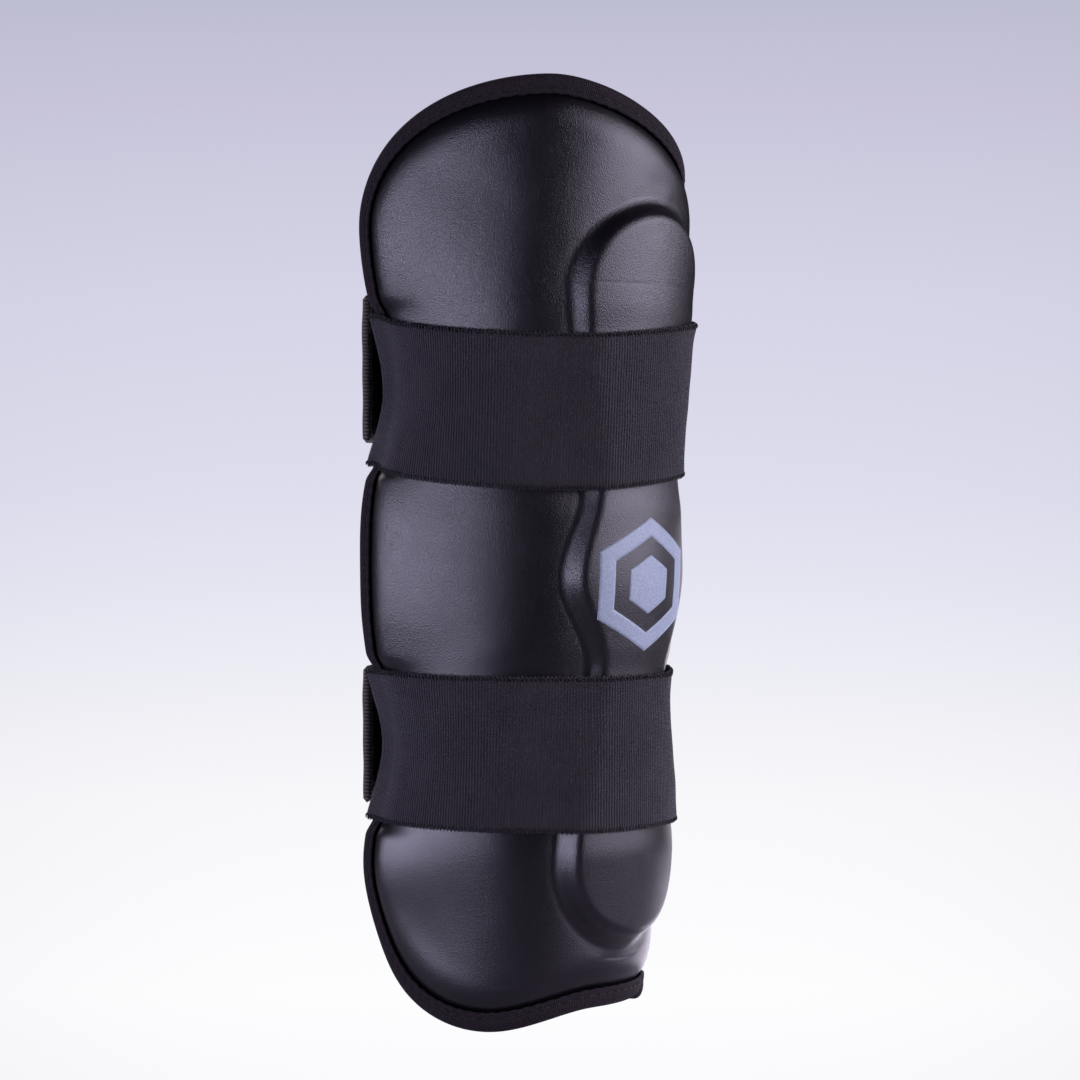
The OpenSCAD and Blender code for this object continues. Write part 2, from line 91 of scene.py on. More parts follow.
def psi(s):
    return np.sign(s) * np.interp(np.abs(s), _A, _p)


def bump(z, zc, w):
    return np.exp(-(((z - zc) / w) ** 2))


def grip(z, zc):
    return ss((35 - np.abs(z - zc)) / 7)


def press(z, zc):
    return ss((40 - np.abs(z - zc)) / 14)


def necks(s, z):
    return (2.6 * bump(z, 143, 15) + 2.2 * bump(z, 199, 11) + 1.2 * bump(z, 267, 6)) * np.exp(-(((s - 38) / 20) ** 2))


def pull(s, z):
    a = ss((np.abs(s) - 50) / 75)
    near = -a * (1.4 * ss((z - 120) / 30) + 3 * bump(z, 34, 24) + 13 * (bump(z, Z_UP, np.where(z > Z_UP, 35, 29)) + bump(z, Z_LOW, 29))
                 + 2.5 * (grip(z, Z_UP) + grip(z, Z_LOW)) * ss((np.abs(s) - 85) / 35))
    far = -a * 4 * (bump(z, Z_UP, 24) + bump(z, Z_LOW, 24))
    front = (-0.7 * (1 - ss((np.abs(s) - 45) / 35)) * (press(z, Z_UP - 8) + press(z, Z_LOW))
             + 2.5 * ss((z - 262) / 36) * np.exp(-(((s - 40) / 28) ** 2)))
    return np.where(s < 0, near, far) + front + necks(s, z)


def surf(s, z, o):
    s, z, o = np.broadcast_arrays(np.asarray(s, float), np.asarray(z, float), np.asarray(o, float))
    p = psi(s)
    k = mix(0.93, 1.07, z / H)
    f = o + pull(s, z)
    front = 15.5 - 58 - 18.36 * z / H
    return np.stack([np.sign(s) * np.interp(np.abs(s), _A, _x) * k + np.sin(p) * f,
                     np.interp(np.abs(s), _A, _y) * k + front - np.cos(p) * f, z], -1)


def surf_n(s):
    p = psi(np.asarray(s, float))
    return np.stack([np.sin(p), -np.cos(p), np.zeros_like(p)], -1)


def soft(x, knots):
    x = np.asarray(x, float)
    k = np.array(knots, float)
    i = np.clip(np.searchsorted(k[:, 0], x) - 1, 0, len(k) - 2)
    t = ss((x - k[i, 0]) / (k[i + 1, 0] - k[i, 0]))
    return mix(k[i, 1], k[i + 1, 1], t)


ZA, ZC = 64.0, 277.5          # middles of the rounded ends of the ridge
W0, W1 = 26.5, 27.0           # their radii


def rw(z):
    return soft(z, [[ZA, W0], [137, 16], [171, 27], [205, 20], [ZC, W1]])


def rh(z):
    return soft(z, [[ZA, 8], [137, 5], [171, 7], [205, 5.5]])


def blur(v, sigma, wrap=False):
    r = int(4 * sigma) + 1
    k = np.exp(-0.5 * (np.arange(-r, r + 1) / sigma) ** 2)
    k /= k.sum()
    pad = [(r, r)] + [(0, 0)] * (v.ndim - 1)
    q = np.pad(v, pad, mode="wrap" if wrap else "edge")
    if v.ndim == 1:
        return np.convolve(q, k, "valid")
    return np.stack([np.convolve(q[:, i], k, "valid") for i in range(v.shape[1])], 1)


# height of the ridge against distance outside of its edge (as a share of its full height)
_e = np.arange(-12, 20, 0.05)
_prof = blur(np.interp(_e, [-0.9, 1.0, 5.0, 7.2], [1, 0.88, 0.15, 0]), 0.55 / 0.05)


def ridge_prof(e):
    return np.interp(e, _e, _prof)


# ------------------------------------------------------------------ outline of the shell, (s, z)
def outline_dense():
    s_lo, s_hi, rise, zb, zt, bt, nt, sb2 = -60.0, -39.5, 8.0, 64.5, 300.0, 100.0, 1.45, 36.0
    zb2, zt2 = rise + 66, H - bt
    seg = []
    s = np.linspace(0, s_lo, 200)
    seg.append(np.stack([s, rise * ss((s - s_lo) / 50)], 1))
    a = np.linspace(0, np.pi / 2, 400)[1:]
    seg.append(np.stack([s_lo - (NEAR + s_lo) * np.sin(a), zb - zb * np.cos(a)], 1))
    z = np.linspace(zb, zt, 800)[1:]
    seg.append(np.stack([np.full_like(z, -NEAR), z], 1))
    a = np.linspace(0, np.pi / 2, 400)[1:]
    seg.append(np.stack([s_hi - (NEAR + s_hi) * np.cos(a), zt + (H - zt) * np.sin(a)], 1))
    s = np.linspace(s_hi, 0, 200)[1:]
    top = lambda q: H - bt * (1 - (1 - ((q - s_hi) / (FAR - s_hi)) ** nt) ** (1 / nt))
    seg.append(np.stack([s, top(s)], 1))
    a_end = math.acos((-s_hi / (FAR - s_hi)) ** (nt / 2))
    a = np.linspace(a_end, 0, 800)[1:]
    seg.append(np.stack([s_hi + (FAR - s_hi) * np.cos(a) ** (2 / nt), zt2 + bt * np.sin(a) ** (2 / nt)], 1))
    z = np.linspace(zt2, zb2, 600)[1:]
    seg.append(np.stack([np.full_like(z, FAR), z], 1))
    a = np.linspace(np.pi / 2, 0, 400)[1:]
    seg.append(np.stack([sb2 + (FAR - sb2) * np.sin(a), zb2 - 66 * np.cos(a)], 1))
    s = np.linspace(sb2, 0, 100)[1:-1]
    seg.append(np.stack([s, np.full_like(s, rise)], 1))
    return np.concatenate(seg)


def resample(P, n=None, step=None, closed=True):
    Q = np.concatenate([P, P[:1]]) if closed else P
    L = np.concatenate([[0], np.cumsum(np.linalg.norm(np.diff(Q, axis=0), axis=1))])
    n = n or int(round(L[-1] / step))
    t = np.linspace(0, L[-1], n + 1)[:-1] if closed else np.linspace(0, L[-1], n)
    return np.stack([np.interp(t, L, Q[:, i]) for i in range(Q.shape[1])], 1), L[-1]


DENSE, _ = resample(outline_dense(), step=0.2)
DENSE = blur(DENSE, 3.5 / 0.2, wrap=True)
DENSE, LEN = resample(DENSE, n=len(DENSE))
_t = np.roll(DENSE, -2, 0) - np.roll(DENSE, 2, 0)
_t /= np.linalg.norm(_t, axis=1, keepdims=True)
DENSE_N = blur(np.stack([_t[:, 1], -_t[:, 0]], 1), 1.5 / 0.2, wrap=True)
DENSE_N /= np.linalg.norm(DENSE_N, axis=1, keepdims=True)


def nearest(p):
    return int(np.argmin(((DENSE - np.array(p)) ** 2).sum(1)))


_marks = [0, nearest((-NEAR, 64.5)), nearest((-NEAR, 300.0)), nearest((0, H - 8)),
          nearest((FAR, H - 100)), nearest((FAR, 74.0)), len(DENSE)]
_top0 = int(np.argmin(np.abs(DENSE[:, 0]) + (DENSE[:, 1] < H / 2) * 1000))
_marks[3] = _top0


def columns(nb, ns, nt):
    """indices into DENSE: equal counts on the two sides, bottom / side / top"""
    counts = [nb, ns, nt, nt, ns, nb]
    idx = []
    for (a, b), n in zip(zip(_marks[:-1], _marks[1:]), counts):
        idx.append(np.linspace(a, b, n + 1)[:-1])
    i = np.concatenate(idx)
    w = blur(np.diff(np.concatenate([i, [len(DENSE)]])), 8, wrap=True)   # even out the spacing where regions meet
    i2 = np.concatenate([[0], np.cumsum(w)])[:-1] * len(DENSE) / w.sum()
    return i2


def at(i, arr):
    n = len(arr)
    f = np.floor(i).astype(int)
    t = (i - f)[:, None]
    return arr[f % n] * (1 - t) + arr[(f + 1) % n] * t


class Grid:
    """columns round the rim matched to columns round the ridge"""

    def __init__(self, nb, ns, nt):
        self.n = (nb, ns, nt)
        self.half = nb + ns + nt
        self.K = 2 * self.half
        self.i = columns(nb, ns, nt)
        self.P = at(self.i, DENSE)
        n = at(self.i, DENSE_N)
        self.N = n / np.linalg.norm(n, axis=1, keepdims=True)
        self.u = self.i / len(DENSE) * LEN
        k = np.arange(self.K)
        h = np.where(k <= self.half, k, self.K - k)
        self.side = np.where(k <= self.half, -1.0, 1.0)
        self.h = h
        kb, ks = nb, nb + ns
        self.reg = np.where(h < kb, 0, np.where(h <= ks, 1, 2))
        self.ang = np.where(h < kb, h / kb, np.where(h > ks, (h - ks) / nt, 0)) * np.pi / 2
        self.zz = mix(ZA, ZC, np.clip((h - kb) / ns, 0, 1))

    def inset(self, D):
        return self.P + self.N * D

    def ridge(self, c, e, w=None):
        """ring round the ridge: c scales its half width (less 4 mm), e is the distance outside of its edge"""
        wid = rw(self.zz)
        we = c * (wid - 4) if e is None else wid + e
        w0 = c * (W0 - 4) if e is None else W0 + e
        w1 = c * (W1 - 4) if e is None else W1 + e
        x = np.where(self.reg == 0, w0 * np.sin(self.ang), np.where(self.reg == 1, we, w1 * np.cos(self.ang)))
        z = np.where(self.reg == 0, ZA - w0 * np.cos(self.ang), np.where(self.reg == 1, self.zz, ZC + w1 * np.sin(self.ang)))
        return np.stack([self.side * x, z], 1)


# ------------------------------------------------------------------ mesh helpers
def make(name, V, F, uv=None, mat=None, attrs=None, smooth=True):
    me = bpy.data.meshes.new(name)
    me.from_pydata((np.asarray(V) * MM).tolist(), [], F if isinstance(F, list) else np.asarray(F).tolist())
    if uv is not None:
        layer = me.uv_layers.new(name="UVMap")
        layer.data.foreach_set("uv", np.asarray(uv, np.float32).reshape(-1))
    for key, val in (attrs or {}).items():
        at_ = me.attributes.new(key, "FLOAT", "POINT")
        at_.data.foreach_set("value", np.asarray(val, np.float32).ravel())
    if smooth:
        me.polygons.foreach_set("use_smooth", np.ones(len(me.polygons), bool))
    me.update()
    ob = bpy.data.objects.new(name, me)
    bpy.context.scene.collection.objects.link(ob)
    if mat is not None:
        me.materials.append(mat)
    return ob


def grid_faces(R, C, wrap_r=False, wrap_c=False, U=None, W=None, flip=False, base=0):
    """quads of an R x C grid of vertices and their corner UVs (U, W: R(+1) x C(+1) in metres)"""
    r = np.arange(R if wrap_r else R - 1)
    c = np.arange(C if wrap_c else C - 1)
    r, c = np.meshgrid(r, c, indexing="ij")
    r, c = r.ravel(), c.ravel()
    r2, c2 = (r + 1), (c + 1)
    a = (r % R) * C + c % C
    b = (r % R) * C + c2 % C
    d = (r2 % R) * C + c % C
    e = (r2 % R) * C + c2 % C
    F = np.stack([a, b, e, d], 1)
    uv = None
    if U is not None:
        uv = np.stack([np.stack([U[r, c], W[r, c]], 1), np.stack([U[r, c2], W[r, c2]], 1),
                       np.stack([U[r2, c2], W[r2, c2]], 1), np.stack([U[r2, c], W[r2, c]], 1)], 1)
    if flip:
        F = F[:, ::-1]
        uv = None if uv is None else uv[:, ::-1]
    return F + base, uv


def joined(parts):
    """[(V, F, uv)] to one"""
    V, F, U = [], [], []
    n = 0
    for v, f, u in parts:
        V.append(v)
        F.append(np.asarray(f) + n)
        U.append(u if u is not None else np.zeros((len(f), f.shape[1], 2)))
        n += len(v)
    return np.concatenate(V), np.concatenate(F), np.concatenate(U)


def waves(s, z, seed, scale, amp):
    """smooth, repeatable unevenness"""
    g = np.random.RandomState(seed)
    v = 0
    for i in range(7):
        a = g.uniform(0, 2 * np.pi)
        l = scale * g.uniform(0.7, 1.6)
        v = v + np.sin(2 * np.pi * (s * np.cos(a) + z * np.sin(a)) / l + g.uniform(0, 6.28)) * g.uniform(0.5, 1)
    return amp * v / 2.6


# ------------------------------------------------------------------ cover and lining
def cover_base(D):
    x = np.clip((D - 7.2) / (23.5 - 7.2), 0, 1)
    return RIM_O - 0.6 + 4.6 * (1 - (1 - x) ** 3)


def lining_base(D):
    x = np.clip((D - 7.4) / (19 - 7.4), 0, 1)
    return -8.3 - 3.7 * (1 - (1 - x) ** 2.4)


D_LAST, E_MAX = 16.0, 10.5


def rings(g, Ds, n_lerp, es, cs):
    """[(s, z)], distance in from the edge, distance outside the ridge's edge and place in the sequence, for each ring"""
    out, dist, edge, place = [], [], [], []
    A, B = g.inset(D_LAST), g.ridge(1, E_MAX)
    gap = np.linalg.norm(B - A, axis=1)
    for D in Ds:
        out.append(g.inset(D)); dist.append(np.full(g.K, D)); edge.append(gap + E_MAX + D_LAST - D); place.append(D / D_LAST)
    for t in np.arange(1, n_lerp) / n_lerp:
        out.append(mix(A, B, t)); dist.append(D_LAST + gap * t); edge.append(E_MAX + gap * (1 - t)); place.append(1 + t)
    for e in es:
        out.append(g.ridge(1, e)); dist.append(D_LAST + gap + E_MAX - e); edge.append(np.full(g.K, float(e))); place.append(2 + (E_MAX - e) / (E_MAX + 4))
    for c in cs:
        out.append(g.ridge(c, None)); dist.append(D_LAST + gap + E_MAX + 4 + 20 * (1 - c)); edge.append(np.full(g.K, -4.0 - 20 * (1 - c))); place.append(4 - c)
    out, dist = np.array(out), np.array(dist)
    # between the padding's edge and the ridge the rings slant, so measure how far in they really are
    line = g.inset(0.0)
    P, Q = line, np.roll(line, -1, 0)
    d = Q - P
    L2 = (d * d).sum(1) + 1e-12
    flat = out.reshape(-1, 2)
    true = np.empty(len(flat))
    for i in range(0, len(flat), 4000):
        v = flat[i:i + 4000, None, :] - P[None]
        t = np.clip((v * d).sum(-1) / L2, 0, 1)
        true[i:i + 4000] = np.sqrt(((v - t[..., None] * d) ** 2).sum(-1).min(1))
    true = true.reshape(dist.shape)
    near = np.abs(true[:len(Ds)] - dist[:len(Ds)]).max()
    print("ring distance differs by", round(float(near), 3))
    dist = np.where(dist > D_LAST, np.maximum(true, D_LAST), dist)
    return out, dist, np.array(edge), np.array(place)


def cap_faces(g, base):
    K, h = g.K, g.half
    f = [[base + k, base + k + 1, base + K - k - 1, base + (K - k) % K] for k in range(1, h - 1)]
    tri = [[base, base + 1, base + K - 1], [base + h - 1, base + h, base + h + 1]]
    return f, tri


def sheet(name, g, SZ, off, mat, outward, attrs=None):
    R = len(SZ)
    V = surf(SZ[..., 0], SZ[..., 1], off).reshape(-1, 3)
    F, _ = grid_faces(R, g.K, wrap_c=True)
    q, tri = cap_faces(g, (R - 1) * g.K)
    F = F.tolist()
    faces = [list(f) for f in F] + q + tri
    # the cap runs the other way round from the rings, so check it against the surface
    n = surf_n(SZ[..., 0]).reshape(-1, 3)
    def agrees(f):
        a, b, c = V[f[0]], V[f[1]], V[f[2]]
        return np.dot(np.cross(b - a, c - a), n[f[0]])
    k = len(F)
    if (agrees(faces[k // 2]) > 0) != outward:
        faces[:k] = [f[::-1] for f in faces[:k]]
    if (agrees(faces[k + len(q) // 2]) > 0) != outward:
        faces = faces[:k] + [f[::-1] for f in faces[k:]]
    uvv = SZ.reshape(-1, 2) * MM
    uv = np.concatenate([uvv[f] for f in faces])
    return make(name, V, faces, uv, mat, attrs)


def crease(z, e):
    """faint fold across the ridge where its rounded top begins"""
    return -0.07 * np.exp(-(((z - 279.6) / 0.7) ** 2)) * ss((4.5 - e) / 3)


def cover_offset(s, z, D, E):
    return cover_base(D) + rh(z) * ridge_prof(E) + crease(z, E)


def cover_at(s, z):
    """height of the finished cover in the middle of the shell"""
    return cover_offset(s, z, 60.0, np.abs(s) - rw(z))


# ------------------------------------------------------------------ materials
class Nodes:
    """short hand for building a node material"""

    def __init__(self, name):
        self.m = bpy.data.materials.new(name)
        self.m.use_nodes = True
        self.t = self.m.node_tree
        self.t.nodes.clear()
        self.out = self.t.nodes.new("ShaderNodeOutputMaterial")

    def n(self, kind, _vals=None, **props):
        node = self.t.nodes.new("ShaderNode" + kind)
        for k, v in props.items():
            setattr(node, k, v)
        for k, v in (_vals or {}).items():
            if hasattr(v, "is_output") or isinstance(v, bpy.types.NodeSocket):
                self.t.links.new(v, node.inputs[k])
            else:
                node.inputs[k].default_value = v
        return node

    def math(self, op, a, b=0.0, c=None, clamp=False):
        v = {0: a, 1: b}
        if c is not None:
            v[2] = c
        return self.n("Math", v, operation=op, use_clamp=clamp).outputs[0]

    def mix(self, f, a, b):
        node = self.n("Mix", data_type="RGBA")
        for i, v in ((0, f), (6, a), (7, b)):
            if isinstance(v, bpy.types.NodeSocket):
                self.t.links.new(v, node.inputs[i])
            else:
                node.inputs[i].default_value = v if i == 0 else (*v, 1)
        return node.outputs[2]

    def ramp(self, f, stops):
        r = self.n("ValToRGB", {0: f})
        el = r.color_ramp.elements
        while len(el) < len(stops):
            el.new(0.5)
        for e, (p, c) in zip(el, stops):
            e.position = p
            e.color = (*c, 1) if isinstance(c, tuple) else (c, c, c, 1)
        return r.outputs[0]

    def noise(self, vec, scale, detail=2.0, rough=0.5, dim="3D"):
        return self.n("TexNoise", {"Vector": vec, "Scale": scale, "Detail": detail, "Roughness": rough}, noise_dimensions=dim).outputs[0]

    def coords(self, kind="Object"):
        return self.n("TexCoord").outputs[kind]

    def uv(self):
        s = self.n("SeparateXYZ", {0: self.n("UVMap").outputs[0]})
        return s.outputs[0], s.outputs[1]

    def attr(self, name):
        return self.n("Attribute", attribute_name=name).outputs["Fac"]

    def bump(self, h, strength, dist, normal=None):
        v = {"Height": h, "Strength": strength, "Distance": dist}
        if normal is not None:
            v["Normal"] = normal
        return self.n("Bump", v).outputs[0]

    def done(self, **vals):
        b = self.n("BsdfPrincipled")
        for k, v in vals.items():
            key = k.replace("_", " ")
            if isinstance(v, bpy.types.NodeSocket):
                self.t.links.new(v, b.inputs[key])
            else:
                b.inputs[key].default_value = (*v, 1) if isinstance(v, tuple) and len(v) == 3 else v
        self.t.links.new(b.outputs[0], self.out.inputs[0])
        return self.m


def mat_leather():
    m = Nodes("cover_leather")
    c = m.coords()
    vor = m.n("TexVoronoi", {"Vector": c, "Scale": 2700.0, "Randomness": 1.0}, feature="SMOOTH_F1").outputs["Distance"]
    warp = m.noise(c, 760.0, 3.0, 0.6)
    fine = m.noise(c, 2600.0, 2.0, 0.55)
    h = m.math("ADD", m.math("MULTIPLY", vor, 0.9), m.math("ADD", m.math("MULTIPLY", warp, 0.30), m.math("MULTIPLY", fine, 0.30)))
    big = m.noise(c, 34.0, 3.0, 0.6)
    worn_and_highlit = m.attr("wear_and_highlight")
    col = m.mix(m.ramp(big, [(0.3, 0.0), (0.7, 1.0)]), (0.0007, 0.0006, 0.0011), (0.0014, 0.0011, 0.0021))
    col = m.mix(m.math("MULTIPLY", m.ramp(vor, [(0.15, 0.0), (0.75, 1.0)]), 0.30), col, (0.0050, 0.0040, 0.0068))
    # ridge shoulders made lighter: partly rubbed wear, partly a painted highlight along the shoulder
    col = m.mix(m.math("MULTIPLY", worn_and_highlit, 0.35), col, (0.010, 0.0085, 0.012))
    r = m.math("ADD", m.math("MULTIPLY", m.noise(c, 90.0, 4.0, 0.65), 0.10), m.math("MULTIPLY", m.ramp(vor, [(0.1, 0.0), (0.8, 1.0)]), 0.10))
    r = m.math("ADD", r, 0.252)
    up = m.math("SUBTRACT", m.n("SeparateXYZ", {0: c}).outputs[2], 0.06)
    grain = m.math("MULTIPLY_ADD", m.math("MULTIPLY", up, 1 / 0.16, clamp=True), 0.42, 0.30)
    return m.done(Base_Color=col, Roughness=r, Specular_IOR_Level=0.52, Specular_Tint=(0.93, 0.90, 1.0), Sheen_Weight=0.0,
                  Normal=m.bump(h, grain, 0.00019))


def mat_lining():
    m = Nodes("lining_mesh")
    u, v = m.uv()
    p = 2 * math.pi / 0.0016
    a = m.math("SINE", m.math("MULTIPLY", u, p))
    b = m.math("SINE", m.math("MULTIPLY", v, p))
    w = m.math("MULTIPLY", a, b)
    c = m.coords()
    n = m.noise(c, 1500.0, 3.0, 0.7)
    h = m.math("ADD", w, m.math("MULTIPLY", n, 0.9))
    col = m.mix(m.ramp(h, [(0.1, 0.0), (1.0, 1.0)]), (0.006, 0.006, 0.007), (0.032, 0.030, 0.034))
    col = m.mix(m.math("MULTIPLY", m.noise(c, 60.0, 3.0, 0.6), 0.35), col, (0.040, 0.038, 0.044))
    return m.done(Base_Color=col, Roughness=m.math("ADD", m.math("MULTIPLY", n, 0.2), 0.74), Specular_IOR_Level=0.25,
                  Sheen_Weight=0.25, Sheen_Roughness=0.45, Normal=m.bump(h, 0.6, 0.0004))


def mat_tape():
    m = Nodes("binding_tape")
    u, v = m.uv()
    c = m.coords()
    n = m.noise(c, 2400.0, 3.0, 0.7)
    wob = m.math("MULTIPLY", m.noise(c, 500.0, 2.0, 0.5), 0.0003)
    rib = m.math("SINE", m.math("MULTIPLY", m.math("ADD", u, wob), 2 * math.pi / 0.00076))
    cross = m.math("SINE", m.math("MULTIPLY", v, 2 * math.pi / 0.0009))
    h = m.math("ADD", rib, m.math("ADD", m.math("MULTIPLY", cross, 0.45), m.math("MULTIPLY", n, 1.3)))
    col = m.mix(m.ramp(h, [(0.0, 0.0), (1.0, 1.0)]), (0.0030, 0.0017, 0.0033), (0.0150, 0.0095, 0.0155))
    col = m.mix(m.ramp(m.noise(c, 3600.0, 1.0, 0.5), [(0.70, 0.0), (0.84, 1.0)]), col, (0.018, 0.012, 0.018))
    # painted highlight: the tape is made lighter where its two ends lap, on the lump at the bottom
    col = m.mix(m.math("MULTIPLY", m.attr("lap"), 0.55), col, (0.050, 0.040, 0.048))
    return m.done(Base_Color=col, Roughness=m.math("ADD", m.math("MULTIPLY", n, 0.25), 0.66), Specular_IOR_Level=0.16,
                  Sheen_Weight=0.05, Sheen_Roughness=0.4, Sheen_Tint=(0.70, 0.55, 0.75), Normal=m.bump(h, 0.55, 0.00025))


def mat_thread():
    m = Nodes("sewing_thread")
    c = m.coords()
    w = m.n("TexWave", {"Vector": c, "Scale": 950.0, "Distortion": 2.0, "Detail": 1.0}, bands_direction="DIAGONAL").outputs["Fac"]
    n = m.noise(c, 3000.0)
    col = m.mix(w, (0.0012, 0.0008, 0.0014), (0.0060, 0.0042, 0.0066))
    return m.done(Base_Color=col, Roughness=m.math("ADD", m.math("MULTIPLY", n, 0.2), 0.52), Specular_IOR_Level=0.20,
                  Sheen_Weight=0.05, Normal=m.bump(w, 0.5, 0.0002))


def mat_print():
    m = Nodes("emblem_ink")
    c = m.coords()
    n = m.noise(c, 1400.0, 3.0, 0.7)
    big = m.noise(c, 160.0, 3.0, 0.6)
    col = m.mix(m.ramp(n, [(0.35, 0.0), (0.7, 1.0)]), (0.185, 0.215, 0.300), (0.290, 0.335, 0.430))
    col = m.mix(m.ramp(big, [(0.6, 0.0), (0.8, 0.5)]), col, (0.16, 0.18, 0.30))
    return m.done(Base_Color=col, Roughness=m.math("ADD", m.math("MULTIPLY", n, 0.25), 0.40), Specular_IOR_Level=0.4,
                  Normal=m.bump(m.math("ADD", n, m.noise(c, 420.0)), 0.35, 0.00015))


def mat_elastic():
    """ribbed knit: ribs across the strap, a darker toothed edge, light flecks"""
    m = Nodes("elastic_knit")
    u, v = m.uv()
    c = m.coords()
    n = m.noise(c, 2800.0, 3.0, 0.75)
    row = m.noise(m.n("CombineXYZ", {0: m.math("MULTIPLY", u, 870.0), 1: m.math("MULTIPLY", v, 120.0), 2: 0.0}).outputs[0], 1.0, 2.0, 0.6)
    wob = m.math("MULTIPLY", m.math("SUBTRACT", row, 0.5), 0.0004)
    rib = m.math("SINE", m.math("MULTIPLY", m.math("ADD", u, wob), 2 * math.pi / 0.00115))
    loop = m.math("SINE", m.math("ADD", m.math("MULTIPLY", v, 2 * math.pi / 0.0009), m.math("MULTIPLY", rib, 1.2)))
    h = m.math("ADD", m.math("MULTIPLY", rib, 0.7), m.math("ADD", m.math("MULTIPLY", loop, 0.45), m.math("MULTIPLY", n, 1.4)))
    col = m.mix(m.ramp(m.math("MULTIPLY_ADD", h, 0.33, 0.15), [(0.0, 0.0), (1.0, 1.0)]), (0.0022, 0.0016, 0.0035), (0.0198, 0.0151, 0.0273))
    flecks = m.ramp(m.noise(m.n("CombineXYZ", {0: m.math("MULTIPLY", u, 900.0), 1: m.math("MULTIPLY", v, 700.0), 2: 3.0}).outputs[0], 1.0, 1.0), [(0.62, 0.0), (0.74, 1.0)])
    col = m.mix(m.math("MULTIPLY", flecks, 0.35), col, (0.060, 0.050, 0.072))
    big = m.noise(c, 70.0, 3.0, 0.6)
    col = m.mix(m.math("MULTIPLY", m.ramp(big, [(0.35, 0.0), (0.7, 1.0)]), 0.30), col, (0.030, 0.024, 0.032))
    edge = m.attr("selvedge")
    col = m.mix(m.math("MULTIPLY", edge, 0.92), col, (0.0010, 0.0007, 0.0013))
    return m.done(Base_Color=col, Roughness=m.math("ADD", m.math("MULTIPLY", n, 0.2), 0.56), Specular_IOR_Level=0.30,
                  Sheen_Weight=0.12, Sheen_Roughness=0.4, Sheen_Tint=(0.85, 0.8, 1.0), Normal=m.bump(h, 0.85, 0.0004))


def mat_webbing():
    m = Nodes("tab_webbing")
    u, v = m.uv()
    c = m.coords()
    n = m.noise(c, 2400.0, 3.0, 0.7)
    rib = m.math("SINE", m.math("MULTIPLY", v, 2 * math.pi / 0.0014))
    x = m.math("SINE", m.math("ADD", m.math("MULTIPLY", u, 2 * math.pi / 0.0011), m.math("MULTIPLY", rib, 1.5)))
    h = m.math("ADD", m.math("MULTIPLY", rib, 0.8), m.math("ADD", m.math("MULTIPLY", x, 0.4), n))
    col = m.mix(m.ramp(h, [(0.0, 0.0), (1.0, 1.0)]), (0.016, 0.012, 0.0112), (0.080, 0.064, 0.060))
    return m.done(Base_Color=col, Roughness=m.math("ADD", m.math("MULTIPLY", n, 0.2), 0.66), Specular_IOR_Level=0.3,
                  Sheen_Weight=0.25, Normal=m.bump(h, 0.6, 0.0003))


def mat_fuzz(name, lo, hi, sheen):
    m = Nodes(name)
    c = m.coords()
    n = m.noise(c, 2200.0, 4.0, 0.8)
    k = m.n("TexVoronoi", {"Vector": c, "Scale": 1500.0}).outputs["Distance"]
    h = m.math("ADD", n, k)
    col = m.mix(m.ramp(h, [(0.4, 0.0), (1.1, 1.0)]), lo, hi)
    return m.done(Base_Color=col, Roughness=m.math("ADD", m.math("MULTIPLY", n, 0.2), 0.7), Specular_IOR_Level=0.25,
                  Sheen_Weight=sheen, Sheen_Roughness=0.5, Normal=m.bump(h, 0.8, 0.0005))


def mat_foam(name, lo, hi):
    m = Nodes(name)
    c = m.coords()
    k = m.n("TexVoronoi", {"Vector": c, "Scale": 900.0}).outputs["Distance"]
    n = m.noise(c, 300.0, 4.0, 0.7)
    col = m.mix(m.math("MULTIPLY", m.math("ADD", k, n), 0.6), lo, hi)
    return m.done(Base_Color=col, Roughness=m.math("ADD", m.math("MULTIPLY", n, 0.2), 0.75), Specular_IOR_Level=0.3,
                  Normal=m.bump(m.math("ADD", k, n), 0.5, 0.0004))


LEATHER, LINING, TAPE, THREAD, INK = mat_leather(), mat_lining(), mat_tape(), mat_thread(), mat_print()
ELASTIC, WEBBING = mat_elastic(), mat_webbing()
LOOP = mat_fuzz("loop_pile", (0.004, 0.004, 0.005), (0.022, 0.020, 0.024), 0.5)
HOOK = mat_fuzz("hook_field", (0.004, 0.004, 0.005), (0.018, 0.017, 0.020), 0.1)
for node, (lo, hi) in {"tibia_bar_insert": ((0.16, 0.16, 0.17), (0.30, 0.30, 0.31)),
                       "main_foam": ((0.10, 0.10, 0.11), (0.22, 0.22, 0.23)),
                       "comfort_foam": ((0.07, 0.07, 0.08), (0.16, 0.16, 0.17))}.items():
    o = frame["nodes"][node]
    o.data.materials.clear()
    o.data.materials.append(mat_foam(node + "_cells", lo, hi))


